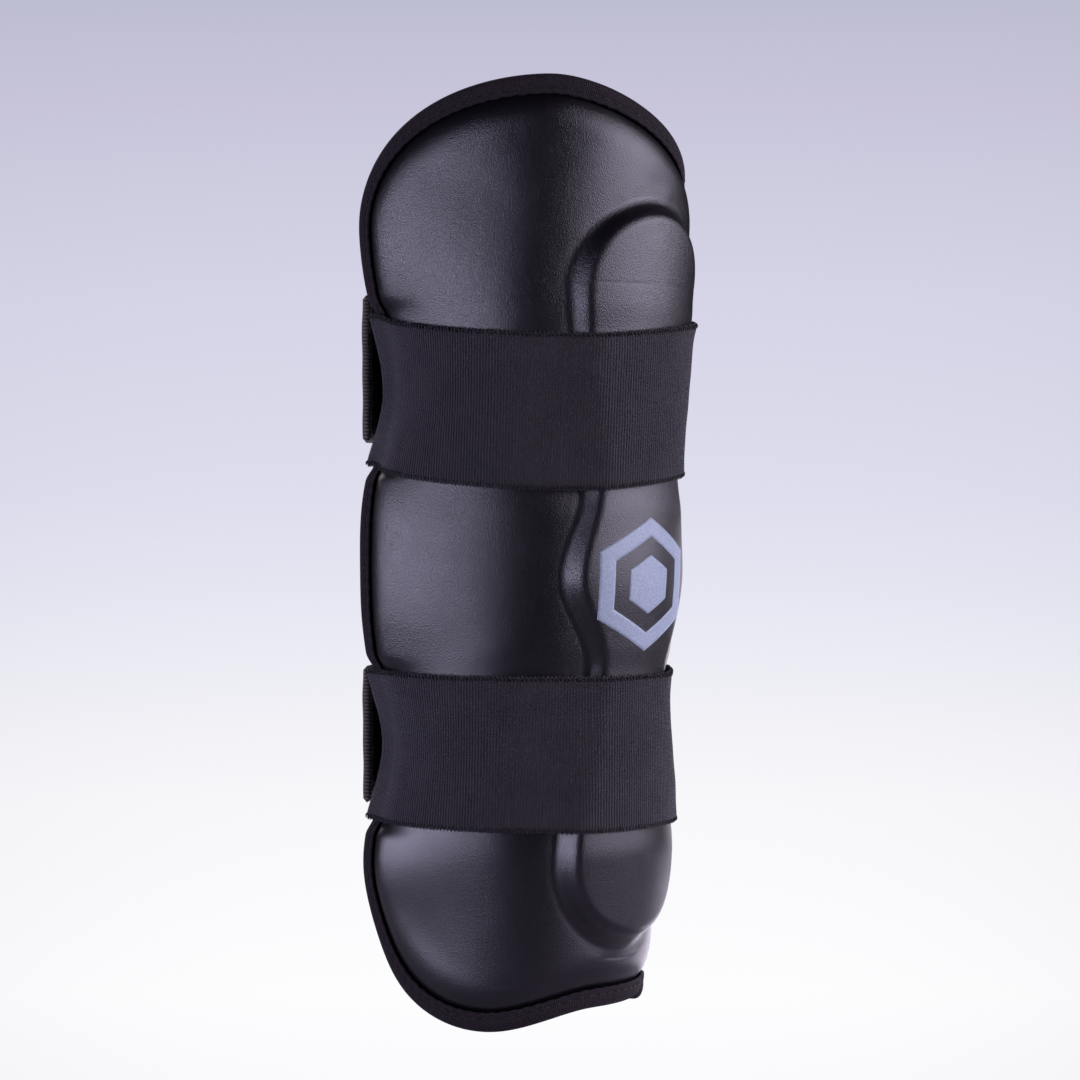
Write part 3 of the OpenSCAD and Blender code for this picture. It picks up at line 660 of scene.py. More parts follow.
# ------------------------------------------------------------------ shell pieces
def billow(nm, g, ring_args, offset, outward, held, pressure, slack, cap):
    """cloth simulation of a coarse copy of one sheet, blown against its stitched rim; gives its
    movement along the surface normal as a table over (place in the ring sequence, place round the rim)"""
    SZc, Dc, Ec, pl = rings(g, *ring_args)
    off = offset(SZc[..., 0], SZc[..., 1], Dc, Ec)
    ob = sheet(nm, g, SZc, off, None, outward)
    rest = np.array([v.co[:] for v in ob.data.vertices])
    vg = ob.vertex_groups.new(name="held")
    w = held(Dc, Ec).ravel()
    for i in range(len(w)):
        vg.add([i], float(w[i]), "REPLACE")
    mod = ob.modifiers.new("cloth", "CLOTH")
    c = mod.settings
    c.quality = 6
    c.mass = 0.25
    c.tension_stiffness = c.compression_stiffness = 18
    c.shear_stiffness = 6
    c.bending_stiffness = 0.6
    c.tension_damping = c.compression_damping = c.shear_damping = 12
    c.air_damping = 4
    c.vertex_group_mass = "held"
    c.pin_stiffness = 1
    c.use_pressure = True
    c.uniform_pressure_force = pressure
    c.shrink_min = -slack
    c.effector_weights.gravity = 0
    mod.collision_settings.use_collision = False
    scene = bpy.context.scene
    mod.point_cache.frame_start, mod.point_cache.frame_end = 1, 20
    for f in range(1, 21):
        scene.frame_set(f)
    dg = bpy.context.evaluated_depsgraph_get()
    ev = ob.evaluated_get(dg)
    now = np.array([v.co[:] for v in ev.data.vertices])
    scene.frame_set(1)
    bpy.data.objects.remove(ob, do_unlink=True)
    d = (((now - rest) / MM) * surf_n(SZc[..., 0]).reshape(-1, 3)).sum(1).reshape(Dc.shape)
    d = np.nan_to_num(d)
    print("cloth", nm, "moved", round(float(d.min()), 3), round(float(np.median(d)), 3), round(float(d.max()), 3), "mm")
    d = cap * np.tanh(0.6 * d / cap)
    return pl, g.i, np.maximum(d, -0.12)


def spread(table, place, i):
    """table of the coarse sheet read off at the rings and columns of the fine one, with a smooth curve between"""
    pl, ic, d = table
    n = len(DENSE)
    src = np.concatenate([ic - n, ic, ic + n])
    D3 = np.concatenate([d, d, d], 1)
    out = np.array([np.interp(i, src, row) for row in D3])
    fine = np.array([np.interp(place, pl, out[:, k]) for k in range(len(i))]).T
    # two passes of a small blur each way take the facets of the coarse sheet out
    fine = blur(fine, 3.0)
    return blur(fine.T, 5.0, wrap=True).T


COARSE = ([1.2, 5, 7.2, 8.2, 9.4, 11, 13, 16], 13, [10.5, 8.4, 6.4, 4.6, 3.0, 1.6, 0.2, -1.6, -4], [0.86, 0.7, 0.52, 0.34, 0.18, 0.06])
COARSE_IN = ([1.2, 5, 7.2, 8.4, 9.8, 11.6, 13.6, 16], 13, [10.5, 6, 1, -4], [0.8, 0.6, 0.4, 0.2])


def cover_held(D, E):
    return np.clip(np.maximum(1 - ss((D - 7.5) / 3), 0.85 * ss((4 - E) / 4)), 0, 1)


def inner_held(D, E):
    return 1 - ss((D - 7.5) / 3)


def inner_offset(s, z, D, E):
    return lining_base(D)


G = Grid(140, 220, 150)
SZ, DD, EE, PP = rings(G, [1.2, 3.5, 5.6, 6.6, 7.0, 7.3, 7.6, 7.9, 8.2, 8.6, 9.1, 9.7, 10.4, 11.2, 12, 13, 14, 15, 16], 42,
                       [10.5, 9.8, 9.1, 8.5, 7.9, 7.2, 6.5, 5.8, 5.1, 4.4, 3.8, 3.2, 2.6, 2.1, 1.6, 1.1, 0.6, 0.1, -0.4, -1, -1.7, -2.6, -4],
                       [0.93, 0.86, 0.79, 0.72, 0.64, 0.56, 0.48, 0.40, 0.32, 0.25, 0.18, 0.11, 0.05])
OFF = cover_offset(SZ[..., 0], SZ[..., 1], DD, EE)
MOVE = spread(billow("cover_cloth", Grid(35, 56, 38), COARSE, cover_offset, True, cover_held, 2.2, 0.012, 1.0), PP, G.i)
OFF = OFF + MOVE * ss((DD - 8) / 3)
# mask along the ridge shoulders for the leather: rubbed wear and a painted highlight
wear_and_highlight = np.exp(-((EE - 0.2) / 1.2) ** 2) * (0.6 + 0.4 * np.sin(SZ[..., 1] / 9.0)) * (EE > -6)
cover = sheet("padded_cover", G, SZ, OFF, LEATHER, True, {"wear_and_highlight": wear_and_highlight})
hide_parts("outer_skin")
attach(cover, "guard")

GL = Grid(70, 110, 76)
SL, DL, EL, PL = rings(GL, [1.2, 4.2, 6.8, 7.3, 7.7, 8.2, 8.8, 9.5, 10.3, 11.2, 12.2, 13.4, 14.7, 16], 26,
                       [10.5, 7, 3.5, 0, -4], [0.85, 0.68, 0.5, 0.34, 0.2, 0.08])
OL = lining_base(DL)
OL = OL + spread(billow("lining_cloth", Grid(35, 56, 38), COARSE_IN, inner_offset, False, inner_held, 1.2, 0.02, 0.7), PL, GL.i) * ss((DL - 8) / 4)
# the padding is fuller on its outside only, so the lining stays where the foam ends
OL = OL - (necks(SL[..., 0], SL[..., 1]) + 0.85) * ss((DL - 8.5) / 4)
lining = sheet("lining_panel", GL, SL, OL, LINING, False)
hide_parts("lining")
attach(lining, "guard")


# ------------------------------------------------------------------ binding tape and its stitches
def tape_half(D):
    q = np.clip(D / 4.2, 0, 1)
    return 3.78 * (1 - (1 - q) ** 2.3) ** (1 / 2.3)


N_B = int(round(LEN / 0.8))
iB = np.linspace(0, len(DENSE), N_B, endpoint=False)
PB, NB = at(iB, DENSE), at(iB, DENSE_N)
NB /= np.linalg.norm(NB, axis=1, keepdims=True)
uB = iB / len(DENSE) * LEN
N_ST = int(round(LEN / PITCH))
PHASE = 2 * np.pi * uB / (LEN / N_ST)
MID = RIM_O - RIM_T / 2
D_ST = 5.4
dout = [7.3, 7.65, 7.75, 7.65, 7.3, 6.8, 6.3, 5.85, 5.4, 4.95, 4.5, 4.0, 3.4, 2.8, 2.2, 1.7, 1.25, 0.9, 0.6, 0.35, 0.15, 0.05, 0.0]
hout = [-0.95, -0.85, -0.5, -0.12, 0.0] + [0.0] * 18
sec = [(1.6, -0.95, 1), (4.2, -0.95, 1)] + [(d, h, 1) for d, h in zip(dout, hout)]
sec = sec + [(d, h, -1) for d, h, _ in sec[:-1][::-1]]
# the tape's two ends lap at the bottom, on the far side of the ridge
U_LAP = nearest((36.5, 8.2)) / len(DENSE) * LEN
lap = ss((6.0 - np.abs(uB - U_LAP)) / 2.0)
rows = []
for d, h, sgn in sec:
    dip = 0.30 * np.exp(-(((d - D_ST) / 0.65) ** 2)) * (0.62 + 0.38 * np.cos(PHASE))
    lift = 0.07 * np.exp(-(((d - 6.7) / 0.7) ** 2)) * (1 - np.cos(PHASE)) / 2
    D = d + (0.14 * np.cos(PHASE) if d > 7.0 else 0) - 1.9 * lap * (1 - d / 7.75)
    o = MID + sgn * (tape_half(d) + h - dip + lift + 0.65 * lap * (h > -0.3)) + waves(uB, d * 3, 21, 30, 0.07)
    q = PB + NB * (D if np.ndim(D) == 0 else D[:, None])
    rows.append(surf(q[:, 0], q[:, 1], o))
VB = np.array(rows)
acr = np.concatenate([[0], np.cumsum([math.hypot(a[0] - b[0], (tape_half(a[0]) + a[1]) * a[2] - (tape_half(b[0]) + b[1]) * b[2]) for a, b in zip(sec, sec[1:] + sec[:1])])]) * MM
Ru, Cu = np.meshgrid(acr, np.concatenate([uB, [LEN]]) * MM, indexing="ij")
F, uv = grid_faces(len(sec), N_B, wrap_r=True, wrap_c=True, U=Cu, W=Ru, flip=False)
# the lap mask also goes to the tape material, where it paints a highlight on the lapped lump
binding = make("binding_tape", VB.reshape(-1, 3), F, uv, TAPE, {"lap": np.tile(lap, (len(sec), 1))})
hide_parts("edge_binding")
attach(binding, "guard")


def threads(paths, r=0.32, n=9, m=6, length=3.1, rise=0.30, sink=0.42):
    """stitches: each path is (centre, along, out) in mm; a short thread that dives into the cloth at both ends"""
    C, A, O = [np.array([p[i] for p in paths], float) for i in range(3)]
    A /= np.linalg.norm(A, axis=1, keepdims=True)
    S = np.cross(O, A)
    S /= np.linalg.norm(S, axis=1, keepdims=True)
    O = np.cross(A, S)
    t = np.linspace(-1, 1, n)
    hgt = rise - sink * np.abs(t) ** 3
    rad = r * (1 - 0.35 * np.abs(t) ** 4)
    a = np.arange(m) / m * 2 * np.pi
    V = (C[:, None, None] + A[:, None, None] * (t * length / 2)[None, :, None, None]
         + O[:, None, None] * (hgt[None, :, None, None] + rad[None, :, None, None] * 0.8 * np.sin(a)[None, None, :, None])
         + S[:, None, None] * (rad[None, :, None, None] * 1.1 * np.cos(a)[None, None, :, None]))
    F, _ = grid_faces(n, m, wrap_c=True)
    F = np.concatenate([F + i * n * m for i in range(len(C))])
    caps = []
    for i in range(len(C)):
        b = i * n * m
        caps += [[b + k for k in range(m)][::-1], [b + (n - 1) * m + k for k in range(m)]]
    F = [list(map(int, f)) for f in F[:, ::-1]] + [c[::-1] for c in caps]
    return V.reshape(-1, 3), F


def rim_point(u, D, o):
    i = np.array([u / LEN * len(DENSE)])
    p = at(i, DENSE)[0] + at(i, DENSE_N)[0] * D
    return surf(p[0], p[1], o)


paths = []
for k in range(N_ST):
    u = (k + 0.5) * LEN / N_ST
    for sgn in (1, -1):
        o = MID + sgn * (3.78 - 0.16)
        a, b = rim_point(u - 1, D_ST, o), rim_point(u + 1, D_ST, o)
        i = np.array([u / LEN * len(DENSE)])
        s = (at(i, DENSE)[0] + at(i, DENSE_N)[0] * D_ST)[0]
        paths.append(((a + b) / 2, b - a, surf_n(s) * sgn))
V, F = threads(paths, r=0.30, length=3.3, rise=0.12, sink=0.30)
seam = make("binding_seam", V, F, None, THREAD)
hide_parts("binding_stitches")
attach(seam, "guard")


# ------------------------------------------------------------------ print on the ridge
def hexa(a):
    return math.cos(math.pi / 6) / np.cos(np.mod(a, np.pi / 3) - np.pi / 6)


def printed(name, radii, n=240):
    a = np.arange(n) / n * 2 * np.pi
    parts = []
    for r0, r1, hole in radii:
        rr = np.linspace(r0, r1, max(4, int((r0 - r1) / 0.9)))
        prof = [(rr[0] + 0.08, -0.10)] + [(rr[0], 0.10)] + [(q, 0.16) for q in rr[1:-1]] + [(rr[-1], 0.10 if hole else 0.16)] + ([(rr[-1] - 0.08, -0.10)] if hole else [])
        V = []
        for r, h in prof:
            d = r * hexa(a)
            s, z = d * np.sin(a), 168 + d * np.cos(a)
            V.append(surf(s, z, cover_at(s, z) + h))
        V = np.array(V)
        F, _ = grid_faces(len(prof), n, wrap_c=True)
        parts.append((V.reshape(-1, 3), F[:, ::-1], None))
    V, F, _ = joined(parts)
    return make(name, V, F, None, INK)


emblem = printed("emblem", [(25, 18, True), (11, 0.15, False)])
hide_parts("emblem_print")
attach(emblem, "guard")


# ------------------------------------------------------------------ straps
STRAP_W, STRAP_T = 58.0, 1.8
TAB_DIR = math.radians(-139)
BACK_N = np.array([math.sin(TAB_DIR), -math.cos(TAB_DIR)])
TURN_O, TURN_R = MID, 5.0


def pchip(x, xs, ys):
    """monotone cubic through the knots"""
    xs, ys = np.array(xs, float), np.array(ys, float)
    h, d = np.diff(xs), np.diff(ys) / np.diff(xs)
    m = np.zeros(len(xs))
    m[0], m[-1] = d[0], d[-1]
    for i in range(1, len(xs) - 1):
        if d[i - 1] * d[i] > 0:
            w1, w2 = 2 * h[i] + h[i - 1], h[i] + 2 * h[i - 1]
            m[i] = (w1 + w2) / (w1 / d[i - 1] + w2 / d[i])
    i = np.clip(np.searchsorted(xs, x) - 1, 0, len(xs) - 2)
    t = (x - xs[i]) / h[i]
    return ((1 + 2 * t) * (1 - t) ** 2 * ys[i] + t * (1 - t) ** 2 * h[i] * m[i]
            + t * t * (3 - 2 * t) * ys[i + 1] + t * t * (t - 1) * h[i] * m[i + 1])


class Strap:
    def __init__(self, key, z, dip, gain, x0, y0, late):
        self.key, self.z, self.dip, self.gain, self.late = key, z, dip, gain, late
        self.zt = JOINTS[key + "_strap_swing"]["pos_m"][2] * 1000
        self.hinge = np.array(JOINTS[key + "_strap_swing"]["pos_m"][:2]) * 1000
        self.tab = np.array(JOINTS[key + "_tab_peel"]["pos_m"][:2]) * 1000
        f = self.hinge - np.array([x0, y0])
        self.r = float((f @ f) / (-2 * f @ BACK_N))
        self.c = np.array([x0, y0]) - self.r * BACK_N
        self.a_far = math.atan2(*(self.hinge - self.c)[::-1])
        self.a_tab = math.atan2(*(self.tab - self.c)[::-1])
        self.a_free = math.radians(128)

    def mid_z(self, s):
        near = self.z - self.dip * (1 - ((s + 24) / -102) ** 2)
        far = self.z - self.dip + (self.dip + self.gain) * np.clip((s + 24) / 129, 0, 1) ** self.late
        return np.where(s < -24, near, far)

    def over(self, s, z):
        w, h = rw(z), rh(z)
        t = w + 0.95 * np.sqrt(2 * FRONT_R * h)
        a = np.abs(s)
        return np.where(a <= w, h, np.where(a >= t, 0, h * ((t - np.minimum(a, t)) / (t - w)) ** 2))

    def arc(self, a, r, z):
        a, r, z = np.broadcast_arrays(np.asarray(a, float), r, z)
        return np.stack([self.c[0] + r * np.cos(a), self.c[1] + r * np.sin(a), z], -1)


ROWS = np.sin(np.linspace(-np.pi / 2, np.pi / 2, 25)) * 0.35 + np.linspace(-1, 1, 25) * 0.65
ROWS = ROWS / ROWS[-1]


def band(name, M, Nv, width, thick, mat, bulge=0.0, rib=0.05, sel=0.10, u0=0.0, teeth=0.48, cap=True, extra=None, whip=0.0):
    """a woven band: M, Nv are stations x rows of middle points and thickness directions, in mm"""
    T, R = M.shape[:2]
    mid = M[:, R // 2]
    u = u0 + np.concatenate([[0], np.cumsum(np.linalg.norm(np.diff(mid, axis=0), axis=1))])
    v = ROWS if R == 25 else np.linspace(-1, 1, R)
    half = thick / 2 * np.sqrt(np.clip(1 - np.abs(v) ** 30, 0, 1)) + sel * np.exp(-(((np.abs(v) - 0.965) / 0.02) ** 2))
    half = half[None, :] * np.ones((T, 1)) + rib * np.cos(2 * np.pi * u / 1.15)[:, None] * (np.abs(v) < 0.95)[None, :]
    half[:, 0] = half[:, -1] = 0
    if extra is not None:
        half = half + extra(u[:, None] - u0, v[None, :])
    M = M.copy()
    dz = teeth * np.cos(2 * np.pi * u / 1.55)
    M[:, 0, 2] -= dz
    M[:, -1, 2] += dz
    loose = waves(u[:, None], (v * width / 2)[None, :], len(name) + 5, 17, 0.10 + bulge)
    M = M + Nv * loose[..., None] * (1 - np.abs(v) ** 8)[None, :, None]
    outer = M + Nv * half[..., None]
    inner = M - Nv * half[..., None]
    ring = np.concatenate([outer, inner[:, -2:0:-1]], 1)
    Rr = ring.shape[1]
    vv = np.concatenate([v * width / 2, (v * width / 2)[-2:0:-1]])
    vv = np.concatenate([vv, vv[:1]])
    U, W = np.meshgrid(u * MM, vv * MM, indexing="ij")
    F, uv = grid_faces(T, Rr, wrap_c=True, U=U, W=W)
    V = ring.reshape(-1, 3)
    n = np.cross(V[F[Rr // 4][1]] - V[F[Rr // 4][0]], V[F[Rr // 4][3]] - V[F[Rr // 4][0]])
    flip = n @ Nv[0, R // 2] < 0
    if flip:
        F, uv = F[:, ::-1], uv[:, ::-1]
    F = F.tolist()
    uv = uv.reshape(-1, 2)
    if cap:
        for base, turn in ((0, False), ((T - 1) * Rr, True)):
            c = [base + k for k in range(Rr)]
            if turn != flip:
                c = c[::-1]
            c = c[::-1] if not flip else c[::-1]
            F.append(c)
            uv = np.concatenate([uv, np.stack([np.full(Rr, u[0 if base == 0 else -1] * MM), vv[[k - base for k in c]] * MM], 1)])
    e = np.clip((np.abs(vv[:-1]) / (width / 2) - 0.945) / 0.02, 0, 1)
    attr = np.tile(e, (T, 1)) * (0.72 + 0.28 * np.cos(2 * np.pi * u / 1.55))[:, None]
    attr = attr.ravel() * (0.10 if whip else 1.0)
    if whip:
        # thread whipped over both edges
        uw = np.arange(u[0] + whip / 2, u[-1] - whip / 2, whip)
        read = lambda A: np.stack([np.interp(uw, u, A[:, k]) for k in range(3)], 1)
        centre = read(mid)
        paths = []
        for e in (0, R - 1):
            edge = read(M[:, e])
            d = centre - edge
            d /= np.linalg.norm(d, axis=1, keepdims=True)
            n = read(Nv[:, e])
            t = np.gradient(edge, axis=0)
            t /= np.linalg.norm(t, axis=1, keepdims=True)
            c = edge + d * 0.85 + n * (thick / 2 - 0.12)
            paths += list(zip(c, d + 0.35 * t, n))
        TV, TF = threads(paths, r=0.30, n=6, m=5, length=1.9, rise=0.12, sink=0.40)
        F = F + [[int(q) + len(V) for q in f] for f in TF]
        V = np.concatenate([V, TV])
        uv = np.concatenate([uv, np.zeros((sum(len(f) for f in TF), 2))])
        attr = np.concatenate([attr, np.ones(len(TV))])
    ob = make(name, V, F, uv, mat, {"selvedge": attr})
    return ob, u


def rows_of(zmid, R=25, w=STRAP_W):
    v = ROWS if R == 25 else np.linspace(-1, 1, R)
    return zmid[:, None] + v[None, :] * w / 2


def tangent(s):
    p = psi(np.asarray(s, float))
    return np.stack([np.cos(p), np.sin(p), np.zeros_like(p)], -1)


def build_strap(st):
    k = st.key
    M, Nn = [], []
    # sewn run inside the near edge
    D = np.arange(30, 1.5, -0.4)
    o = pchip(D, [1.5, 4, 9, 15, 21, 30], [-10.3, -10.7, -11.4, -12.5, -13.1, -13.2]) - STRAP_T / 2
    Z = rows_of(np.full(len(D), st.z))
    s = (D - NEAR)[:, None] + 0 * Z
    M.append(surf(s, Z, o[:, None])); Nn.append(-surf_n(s))
    # turn round the near edge
    a = np.radians(np.linspace(-90, 90, 44))[:, None]
    Z = rows_of(np.full(len(a), st.z))
    s = 1.5 - NEAR - TURN_R * np.cos(a) + 0 * Z
    M.append(surf(s, Z, TURN_O + TURN_R * np.sin(a)))
    Nn.append(-np.cos(a)[..., None] * tangent(s) + np.sin(a)[..., None] * surf_n(s))
    # over the near edge and across the shell
    D = np.arange(1.9, 34, 0.4)
    o = pchip(D, [1.5, 6, 11, 17, 23, 29, 34], [-2.1, -1.55, -0.95, 0.35, 0.85, 0.85, 0.8]) + STRAP_T / 2
    zc = mix(st.z, st.mid_z(D - NEAR), ss((D - 1.5) / 14))
    Z = rows_of(zc)
    s = (D - NEAR)[:, None] + 0 * Z
    M.append(surf(s, Z, o[:, None])); Nn.append(surf_n(s))
    s1 = np.arange(34 - NEAR, FAR - 30, 0.4)
    Z = rows_of(st.mid_z(s1))
    s = s1[:, None] + 0 * Z
    ov = np.array([blur(st.over(s1, Z[:, j]), 2.2 / 0.4) for j in range(Z.shape[1])]).T
    M.append(surf(s, Z, ov + 0.8 + STRAP_T / 2)); Nn.append(surf_n(s))
    D = np.arange(30, -1.01, -0.4)
    o = pchip(D, [-1, 2, 9, 16, 22, 30], [-2.1, -1.95, -1.4, 0.35, 0.85, 0.8]) + STRAP_T / 2
    Z = rows_of(st.mid_z(FAR - D))
    s = (FAR - D)[:, None] + 0 * Z
    M.append(surf(s, Z, o[:, None])); Nn.append(surf_n(s))
    M, Nn = np.concatenate(M), np.concatenate(Nn)
    # soften the joins between the runs
    for j in range(M.shape[1]):
        M[:, j] = blur(M[:, j], 2.0)
    front, u = band(k + "_band_front", M, Nn, STRAP_W, STRAP_T, ELASTIC, whip=1.55)
    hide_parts(k + "_strap_front"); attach(front, "guard")
    # from the far edge round the calf to the root of the tab
    end, t_end = M[-1], (M[-1] - M[-4]) / np.linalg.norm((M[-1] - M[-4])[:, :2], axis=1, keepdims=True)
    a1 = st.a_far + 11 / st.r
    p3 = st.arc(a1, st.r, rows_of(np.array([st.zt]))[0])
    t3 = np.array([-math.sin(a1), math.cos(a1), 0])
    L = np.linalg.norm(p3 - end, axis=1, keepdims=True) / 3
    q = np.linspace(0, 1, 42)[:, None, None]
    B = (1 - q) ** 3 * end + 3 * q * (1 - q) ** 2 * (end + t_end * L) + 3 * q * q * (1 - q) * (p3 - t3 * L) + q ** 3 * p3
    aa = np.arange(a1, st.a_tab + 0.8 / st.r, 0.4 / st.r)[1:]
    Z = rows_of(np.full(len(aa), st.zt))
    P = np.concatenate([B, st.arc(aa[:, None], st.r, Z)])
    tan = np.gradient(P, axis=0)
    nb = np.stack([tan[..., 1], -tan[..., 0], 0 * tan[..., 0]], -1)
    nb /= np.linalg.norm(nb, axis=-1, keepdims=True)
    back, _ = band(k + "_band_back", P, nb, STRAP_W, STRAP_T, ELASTIC, u0=u[-1], bulge=0.10, whip=1.55)
    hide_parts(k + "_strap_back")
    e = st.arc(st.a_far + 30 / st.r, st.r, 0)
    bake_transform(back)
    # tab: webbing over the end of the elastic, with a folded hem at the free end
    TAB_H, ZT = (57.0, st.zt) if k == "upper" else (53.0, st.zt - 2.0)
    aa = np.arange(st.a_tab - 1.2 / st.r, st.a_free, 0.45 / st.r)
    v = ROWS
    Z = ZT + v[None, :] * TAB_H / 2 + 0 * aa[:, None]
    P = st.arc(aa[:, None], st.r + 0.1, Z)
    nb = np.stack([np.cos(aa), np.sin(aa), 0 * aa], -1)[:, None, :] + 0 * P
    total = (aa[-1] - aa[0]) * st.r

    def hem(u, vv):
        return (0.28 * ss((u - (total - 9)) / 1.2) + 0.22 * ss((3.5 - u) / 1.0)
                - 0.16 * np.exp(-(((u - (total - 8.3)) / 0.5) ** 2)) - 0.55 * ss((u - (total - 0.9)) / 0.9)) * (np.abs(vv) < 0.999)

    tab, _ = band(k + "_tab", P, nb, TAB_H, 2.6, WEBBING, bulge=0.08, rib=0.04, sel=0.16, teeth=0.10, extra=hem)
    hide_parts(k + "_strap_tab")
    far = st.arc(st.a_tab + 12 / st.r, st.r, st.zt) * MM

    def bends(ob):
        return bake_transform(ob)

    bends(tab)
    # hook tape: a thin plate with rows of small hooks on its inner face
    r0 = st.r - 1.05
    aa = np.linspace(st.a_tab + math.radians(4), st.a_free - math.radians(4.5), 90)
    hw = TAB_H / 2 - 3.5
    sec = [(r0, -hw), (r0, hw), (r0 - 0.25, hw + 0.15), (r0 - 0.55, hw), (r0 - 0.55, -hw), (r0 - 0.25, -hw - 0.15)]
    V = np.array([[st.arc(a, r, ZT + z) for r, z in sec] for a in aa])
    F, _ = grid_faces(len(aa), len(sec), wrap_c=True)
    F = F.tolist() + [list(range(len(sec)))[::-1], [(len(aa) - 1) * len(sec) + i for i in range(len(sec))]]
    parts_V, parts_F = [V.reshape(-1, 3)], F
    n0 = V.reshape(-1, 3).shape[0]
    na = int((aa[-1] - aa[0]) * st.r / 1.5)
    ha, hz = np.meshgrid(np.linspace(aa[0] + 0.02, aa[-1] - 0.02, na), np.arange(-hw + 1.2, hw - 0.5, 1.5), indexing="ij")
    ha, hz = ha.ravel(), hz.ravel()
    g = np.random.RandomState(11)
    ha = ha + g.uniform(-0.1, 0.1, ha.size) / st.r
    path = [(0.0, 0.0), (0.45, 0.02), (0.72, 0.22), (0.66, 0.50)]
    HV, HF = [], []
    for i, (dr, dzz) in enumerate(path):
        w = 0.17 * (1 - 0.15 * i)
        for sx, sz in ((-1, -1), (1, -1), (1, 1), (-1, 1)):
            HV.append(st.arc(ha + sx * w / st.r, r0 - 0.5 - dr, ZT + hz + dzz + sz * w * (0.6 if i else 1)))
    HV = np.array(HV).transpose(1, 0, 2)
    one = []
    for i in range(3):
        for j in range(4):
            a_, b_ = i * 4 + j, i * 4 + (j + 1) % 4
            one.append([a_, b_, b_ + 4, a_ + 4])
    one.append([12, 13, 14, 15])
    HF = [[q + n0 + i * 16 for q in f] for i in range(len(ha)) for f in one]
    hook = make(k + "_hooks", np.concatenate([V.reshape(-1, 3), HV.reshape(-1, 3)]), parts_F + HF, None, HOOK, smooth=False)
    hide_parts(k + "_hook_tape"); bends(hook)
    # box of stitching on the tab
    b0, b1, hz = st.a_tab + math.radians(5), st.a_free - math.radians(3.5), TAB_H / 2 - 4.5
    n = round((b1 - b0) * st.r / 4.2); m = round(2 * hz / 4.2)
    paths = []
    rr = st.r + 1.4
    for sz in (-1, 1):
        for i in range(n):
            a = mix(b0, b1, (i + 0.5) / n)
            paths.append((st.arc(a, rr, ZT + sz * hz), (-math.sin(a), math.cos(a), 0), (math.cos(a), math.sin(a), 0)))
    for a in (b0, b1):
        for i in range(m):
            paths.append((st.arc(a, rr, ZT + mix(-hz, hz, (i + 0.5) / m)), (0, 0, 1), (math.cos(a), math.sin(a), 0)))
    V, F = threads(paths, r=0.30, length=3.0, rise=0.22, sink=0.42)
    sew = make(k + "_tab_thread", V, F, None, THREAD)
    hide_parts(k + "_tab_stitches"); bends(sew)
    # loop tape, sewn inside the near edge and lying under the hooks
    D = np.arange(31, 9, -0.5)
    o = pchip(D, [9, 16, 24, 31], [-14.3, -14.85, -15.4, -15.6]) - 0.75
    Z = rows_of(np.full(len(D), st.z), w=52.0)
    s = (D - NEAR)[:, None] + 0 * Z
    A = surf(s, Z, o[:, None])
    rl = st.r - 2.5 - 0.75
    aa = np.arange(math.radians(113), st.a_tab + math.radians(6), -0.5 / rl)
    zc = mix(st.z, st.zt, ss((np.arange(len(aa)) * 0.5 + 6) / 26))
    C = st.arc(aa[:, None], rl, rows_of(zc, w=52.0))
    t0 = A[-1] - A[-3]; t0[:, 2] = 0; t0 /= np.linalg.norm(t0, axis=1, keepdims=True)
    t1 = C[2] - C[0]; t1[:, 2] = 0; t1 /= np.linalg.norm(t1, axis=1, keepdims=True)
    L = np.linalg.norm(C[0] - A[-1], axis=1, keepdims=True) / 3
    q = np.linspace(0, 1, 40)[1:-1][:, None, None]
    B = (1 - q) ** 3 * A[-1] + 3 * q * (1 - q) ** 2 * (A[-1] + t0 * L) + 3 * q * q * (1 - q) * (C[0] - t1 * L) + q ** 3 * C[0]
    P = np.concatenate([A, B, C])
    for j in range(P.shape[1]):
        P[:, j] = blur(P[:, j], 2.0)
    tan = np.gradient(P, axis=0)
    nb = np.stack([-tan[..., 1], tan[..., 0], 0 * tan[..., 0]], -1)
    nb /= np.linalg.norm(nb, axis=-1, keepdims=True)
    loop, _ = band(k + "_loop", P, nb, 52.0, 1.3, LOOP, rib=0.0, sel=0.08, teeth=0.1)
    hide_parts(k + "_loop_tape"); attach(loop, "guard")
    # stitching that holds strap and loop tape inside the near edge
    paths = []
    hz = 21.0
    for d in (28, 18):
        for i in range(10):
            z = st.z + mix(-hz, hz, (i + 0.5) / 10)
            oo = -17.0 if d > 20 else -16.45
            paths.append((surf(d - NEAR, z, oo), (0, 0, 1), -surf_n(d - NEAR)))
    for sz in (-1, 1):
        for d in (20.5, 25.0):
            paths.append((surf(d - NEAR, st.z + sz * (hz + 0.6), -16.75), tangent(d - NEAR), -surf_n(d - NEAR)))
    V, F = threads(paths, r=0.30, length=3.0, rise=0.25, sink=0.5)
    sew = make(k + "_anchor_thread", V, F, None, THREAD)
    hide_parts(k + "_anchor_stitches"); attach(sew, "guard")
    return st


for args in (("upper", Z_UP, 9.5, 8.5, -45.0, 46.3, 1.2), ("lower", Z_LOW, 0.8, 4.5, -43.2, 47.9, 3)):
    build_strap(Strap(*args))


# ------------------------------------------------------------------ floor, light, camera
def soft_box(name, azimuth, elevation, dist, w, h, power, colour=(1, 1, 1), target=(0, 0, 0.18)):
    d = bpy.data.lights.new(name, "AREA")
    d.shape, d.size, d.size_y, d.energy, d.color = "RECTANGLE", w, h, power, colour
    o = bpy.data.objects.new(name, d)
    bpy.context.scene.collection.objects.link(o)
    a, e = math.radians(azimuth), math.radians(elevation)
    back = Vector((math.sin(a) * math.cos(e), -math.cos(a) * math.cos(e), math.sin(e)))
    o.location = Vector(target) + back * dist
    o.rotation_mode = "QUATERNION"
    o.rotation_quaternion = back.to_track_quat("Z", "Y")
    o.visible_camera = False
    return o


